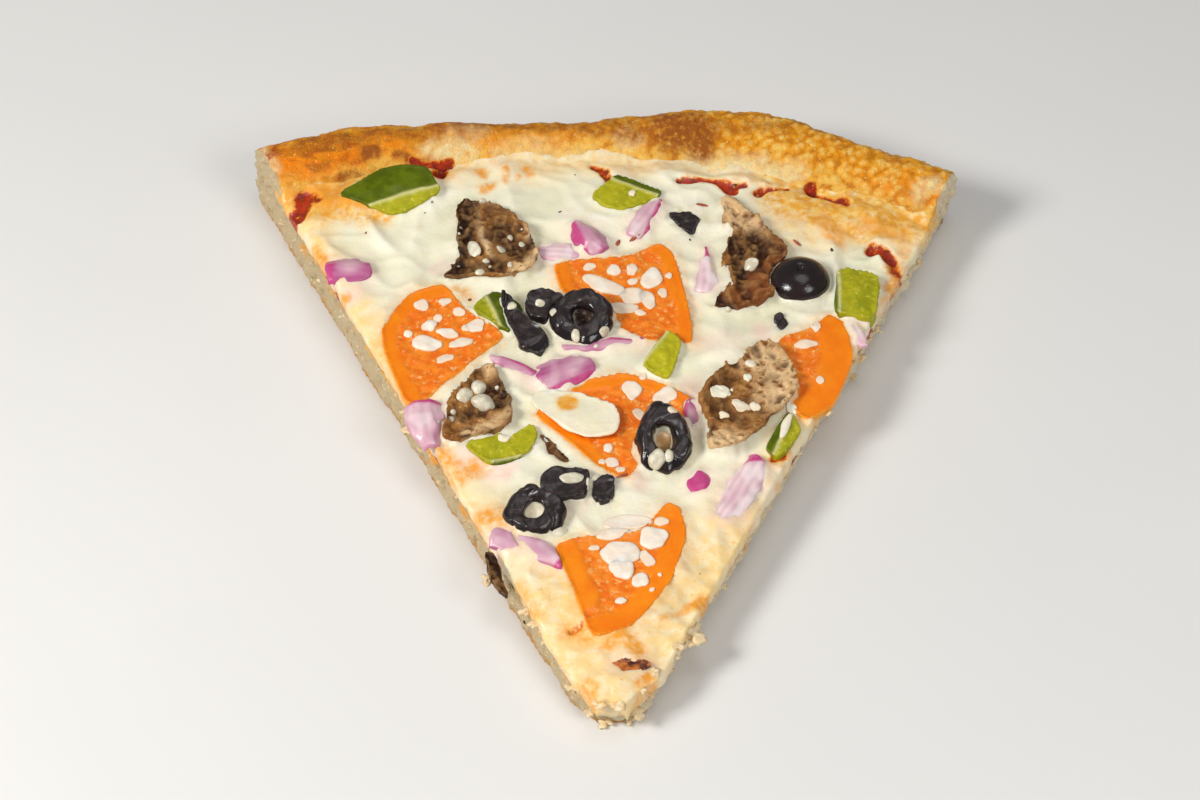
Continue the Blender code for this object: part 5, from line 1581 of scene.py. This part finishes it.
def add_crumb(bm, place, size, seed, flat=0.75):
    """Add one torn, jagged crumb to a mesh."""
    made = bmesh.ops.create_icosphere(bm, subdivisions=3, radius=1.0)
    for vert in made["verts"]:
        swell = 0.9 + 1.1 * noise.noise(vert.co * 1.1 + Vector((seed, seed, 0)))
        swell += 0.45 * noise.noise(vert.co * 2.3 + Vector((0, seed, seed)))
        swell -= 0.3 * abs(noise.noise(vert.co * 5.0 + Vector((seed, 0, seed))))
        shaped = vert.co * (max(swell, 0.2) * size / 2)
        shaped.z *= flat
        vert.co = place + shaped
        vert.co.z = max(vert.co.z, 0.0)


def scatter_crumbs(material, tree):
    """Torn crumbs along both cuts and round the tip."""
    bm = bmesh.new()
    for k, (x, y, size) in enumerate(EDGE_CRUMBS):
        spot, normal, _, _ = tree.find_nearest(touch((x, y), tree)[0])
        place = spot + normal * 0.12 * size * MM
        add_crumb(bm, place, size * MM, 2.3 * k + 5.0, 0.5)
    draw = random.Random(CRUMB_SEED)
    for k in range(LOOSE_CRUMBS):
        side, _ = LEANS[k % 2]
        along = TIP_RADIUS + (FOOT_RADIUS + 12 * MM - TIP_RADIUS) * draw.random()
        height = (1.5 + 6.5 * draw.random()) * MM
        size = (0.8 + 1.8 * draw.random() ** 2) * MM
        inward = Vector((-side * math.cos(HALF_ANGLE), math.sin(HALF_ANGLE), 0.0))
        start = Vector((APEX.x + side * along * math.sin(HALF_ANGLE),
                        APEX.y + along * math.cos(HALF_ANGLE), height)) - inward * 12 * MM
        spot = tree.ray_cast(start, inward)[0]
        if spot is not None:
            add_crumb(bm, spot + inward * 0.25 * size, size, 1.9 * k, 0.45)
    return make_piece("edge_crumbs", bm, material)


def scatter_specks(dark, red, tree):
    """Grains of ground pepper and flakes of dried herb on the surface."""
    bm = bmesh.new()
    for k, seen in enumerate(SPECKS):
        spot, _ = touch(seen, tree)
        add_crumb(bm, spot, (0.4 + 0.2 * (k % 3)) * MM, 4.1 * k)
    make_piece("pepper_specks", bm, dark)
    bm = bmesh.new()
    for k, (seen, length, turn) in enumerate(RED_FLAKES):
        spot, normal = touch(seen, tree)
        add_bead(bm, spot, normal, length * MM, 0.9 * MM, 0.35 * MM, turn, 2.9 * k)
    make_piece("onion_flakes", bm, red)


def add_light(name, power, place, size, colour):
    """A soft square light that faces the slice."""
    data = bpy.data.lights.new(name, "AREA")
    data.shape = "SQUARE"
    data.size = size
    data.energy = power
    data.color = colour
    lamp = bpy.data.objects.new(name, data)
    bpy.context.scene.collection.objects.link(lamp)
    lamp.location = Vector(place)
    lamp.rotation_euler = (camera_target() - lamp.location).to_track_quat("-Z", "Y").to_euler()
    return lamp


class SLICE_OT_stage(bpy.types.Operator):
    """Set out the floor, the soft lights and the camera"""
    bl_idname = "slice.stage"
    bl_label = "Floor, Lights and Camera"

    def execute(self, context):
        stage = context.scene.slice_stage
        bm = bmesh.new()
        bmesh.ops.create_grid(bm, x_segments=8, y_segments=8, size=FLOOR_HALF_WIDTH)
        mesh = bpy.data.meshes.new("floor")
        bm.to_mesh(mesh)
        bm.free()
        pale = tuple(stage.floor)
        mesh.materials.append(plain_material("pale floor", pale, tuple(0.97 * c for c in pale), 0.3, 0.6))
        floor = bpy.data.objects.new("floor", mesh)
        context.scene.collection.objects.link(floor)
        floor.location.z = -FLOOR_DROP
        data = bpy.data.cameras.new("camera")
        data.lens = stage.lens
        data.sensor_width = SENSOR
        data.shift_y = stage.lift
        data.clip_start = 0.01
        camera = bpy.data.objects.new("camera", data)
        context.scene.collection.objects.link(camera)
        back = Vector((0.0, -math.cos(stage.elevation), math.sin(stage.elevation)))
        camera.location = camera_target() + back * stage.distance
        camera.rotation_euler = (math.pi / 2 - stage.elevation, 0.0, 0.0)
        context.scene.camera = camera
        add_light("key", stage.key, *KEY_LIGHT)
        add_light("fill", stage.fill, *FILL_LIGHT)
        add_light("top", TOP_SHARE * stage.fill, *TOP_LIGHT)
        world = bpy.data.worlds.new("studio")
        world.use_nodes = True
        sky = world.node_tree.nodes["Background"]
        sky.inputs["Color"].default_value = SKY_COLOUR
        sky.inputs["Strength"].default_value = stage.sky
        context.scene.world = world
        context.scene.view_settings.view_transform = "Standard"
        return {"FINISHED"}


def pieces_of(kinds):
    """The finished pieces of some kinds of food."""
    return [obj for obj in bpy.context.scene.objects
            if obj.name.endswith("_baked") and obj.name.split("_")[0] in kinds]


class SLICE_OT_groups(bpy.types.Operator):
    """Make the shared surface effects that the food materials use"""
    bl_idname = "slice.groups"
    bl_label = "Shared Surface Effects"

    def execute(self, context):
        for make in (mottle_group, broken_group, grain_group):
            make()
        return {"FINISHED"}


class SLICE_OT_tomatoes(bpy.types.Operator):
    """Make the tomato slices"""
    bl_idname = "slice.tomatoes"
    bl_label = "Tomato Slices"

    def execute(self, context):
        material = tomato_material()
        for name in named_nodes("tomato"):
            bake_tomato(name, material)
        return {"FINISHED"}


class SLICE_OT_peppers(bpy.types.Operator):
    """Make the green pepper chunks"""
    bl_idname = "slice.peppers"
    bl_label = "Green Peppers"

    def execute(self, context):
        material = pepper_material()
        for name in named_nodes("pepper"):
            bake_pepper(name, material)
        return {"FINISHED"}


class SLICE_OT_mushrooms(bpy.types.Operator):
    """Make the roasted mushroom slices"""
    bl_idname = "slice.mushrooms"
    bl_label = "Mushrooms"

    def execute(self, context):
        material = mushroom_material()
        for name in named_nodes("mushroom"):
            bake_mushroom(name, material)
        return {"FINISHED"}


class SLICE_OT_onions(bpy.types.Operator):
    """Make the red onion leaves"""
    bl_idname = "slice.onions"
    bl_label = "Red Onions"

    def execute(self, context):
        material = onion_material()
        for name in named_nodes("onion"):
            bake_onion(name, material)
        return {"FINISHED"}


class SLICE_OT_olives(bpy.types.Operator):
    """Make the black olive rings, scraps and cap"""
    bl_idname = "slice.olives"
    bl_label = "Black Olives"

    def execute(self, context):
        material = olive_material()
        for name in named_nodes("olive"):
            if name != "olive_cap":
                bake_olive(name, material)
        bake_olive_cap(material)
        return {"FINISHED"}


class SLICE_OT_base(bpy.types.Operator):
    """Make the dough with its rim, and the sauce on it"""
    bl_idname = "slice.base"
    bl_label = "Dough and Sauce"

    def execute(self, context):
        bake_dough(crust_material())
        bake_sauce(sauce_material())
        return {"FINISHED"}


class SLICE_OT_cheese(bpy.types.Operator):
    """Melt the cheese round the toppings, and its pool on the middle tomato"""
    bl_idname = "slice.cheese"
    bl_label = "Melted Cheese"

    def execute(self, context):
        toppings = pieces_of(TOPPING_KINDS)
        if not toppings:
            raise RuntimeError("the toppings come before the cheese")
        material = cheese_material()
        melt_cheese(material, toppings)
        lay_pool(material)
        return {"FINISHED"}


class SLICE_OT_details(bpy.types.Operator):
    """Scatter cheese drops, crumbs, pepper specks and flakes"""
    bl_idname = "slice.details"
    bl_label = "Drops and Crumbs"

    def execute(self, context):
        food = pieces_of(TOPPING_KINDS + ("cheese", "dough"))
        tree = tree_of(food)
        pinkish = drop_material("pinkish drops", (0.91, 0.76, 0.63), (0.93, 0.85, 0.74))
        cream = drop_material("cream drops", (0.88, 0.83, 0.64), (0.92, 0.88, 0.74))
        grey = drop_material("grey drops", (0.60, 0.54, 0.40), (0.80, 0.75, 0.60))
        tan = drop_material("tan drops", (0.72, 0.42, 0.18), (0.80, 0.60, 0.38))
        scatter_drops("tomato_drops", TOMATO_DROPS, pinkish, tree)
        scatter_drops("cream_drops", CREAM_DROPS, cream, tree)
        scatter_drops("grey_beads", GREY_BEADS, grey, tree, False)
        scatter_drops("tan_beads", TAN_BEADS, tan, tree, False)
        crumb = plain_material("loose crumb", (0.86, 0.72, 0.47), (0.74, 0.52, 0.27), 1.2 * MM, 0.85)
        scatter_crumbs(crumb, tree)
        dark = plain_material("ground pepper", (0.03, 0.02, 0.015), (0.08, 0.05, 0.03), 0.5 * MM, 0.7)
        red = plain_material("dry flake", (0.28, 0.05, 0.02), (0.45, 0.12, 0.05), 0.8 * MM, 0.5)
        scatter_specks(dark, red, tree)
        return {"FINISHED"}


STEPS = (SLICE_OT_groups, SLICE_OT_stage, SLICE_OT_tomatoes, SLICE_OT_peppers, SLICE_OT_mushrooms,
         SLICE_OT_onions, SLICE_OT_olives, SLICE_OT_base, SLICE_OT_cheese, SLICE_OT_details)


class SLICE_PT_panel(bpy.types.Panel):
    """Lists the steps that dress the slice"""
    bl_idname = "SLICE_PT_panel"
    bl_label = "Pizza Slice"
    bl_space_type = "VIEW_3D"
    bl_region_type = "UI"
    bl_category = "Pizza Slice"

    def draw(self, context):
        for step in STEPS:
            self.layout.operator(step.bl_idname)
        for group in (context.scene.slice_sizes, context.scene.slice_colours, context.scene.slice_stage):
            for name in group.bl_rna.properties.keys():
                if name not in ("rna_type", "name"):
                    self.layout.prop(group, name)


CLASSES = (SliceSizes, SliceColours, StageSettings) + STEPS + (SLICE_PT_panel,)


def register():
    """Make the operators, the panel and the slice's settings known."""
    for cls in CLASSES:
        bpy.utils.register_class(cls)
    bpy.types.Scene.slice_sizes = bpy.props.PointerProperty(type=SliceSizes)
    bpy.types.Scene.slice_colours = bpy.props.PointerProperty(type=SliceColours)
    bpy.types.Scene.slice_stage = bpy.props.PointerProperty(type=StageSettings)


def unregister():
    """Take the settings, the panel and the operators away again."""
    del bpy.types.Scene.slice_stage
    del bpy.types.Scene.slice_colours
    del bpy.types.Scene.slice_sizes
    for cls in reversed(CLASSES):
        bpy.utils.unregister_class(cls)


def main():
    """Register the add-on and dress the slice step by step."""
    register()
    for step in STEPS:
        group, name = step.bl_idname.split(".")
        getattr(getattr(bpy.ops, group), name)()
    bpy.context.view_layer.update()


if __name__ == "__main__":
    main()
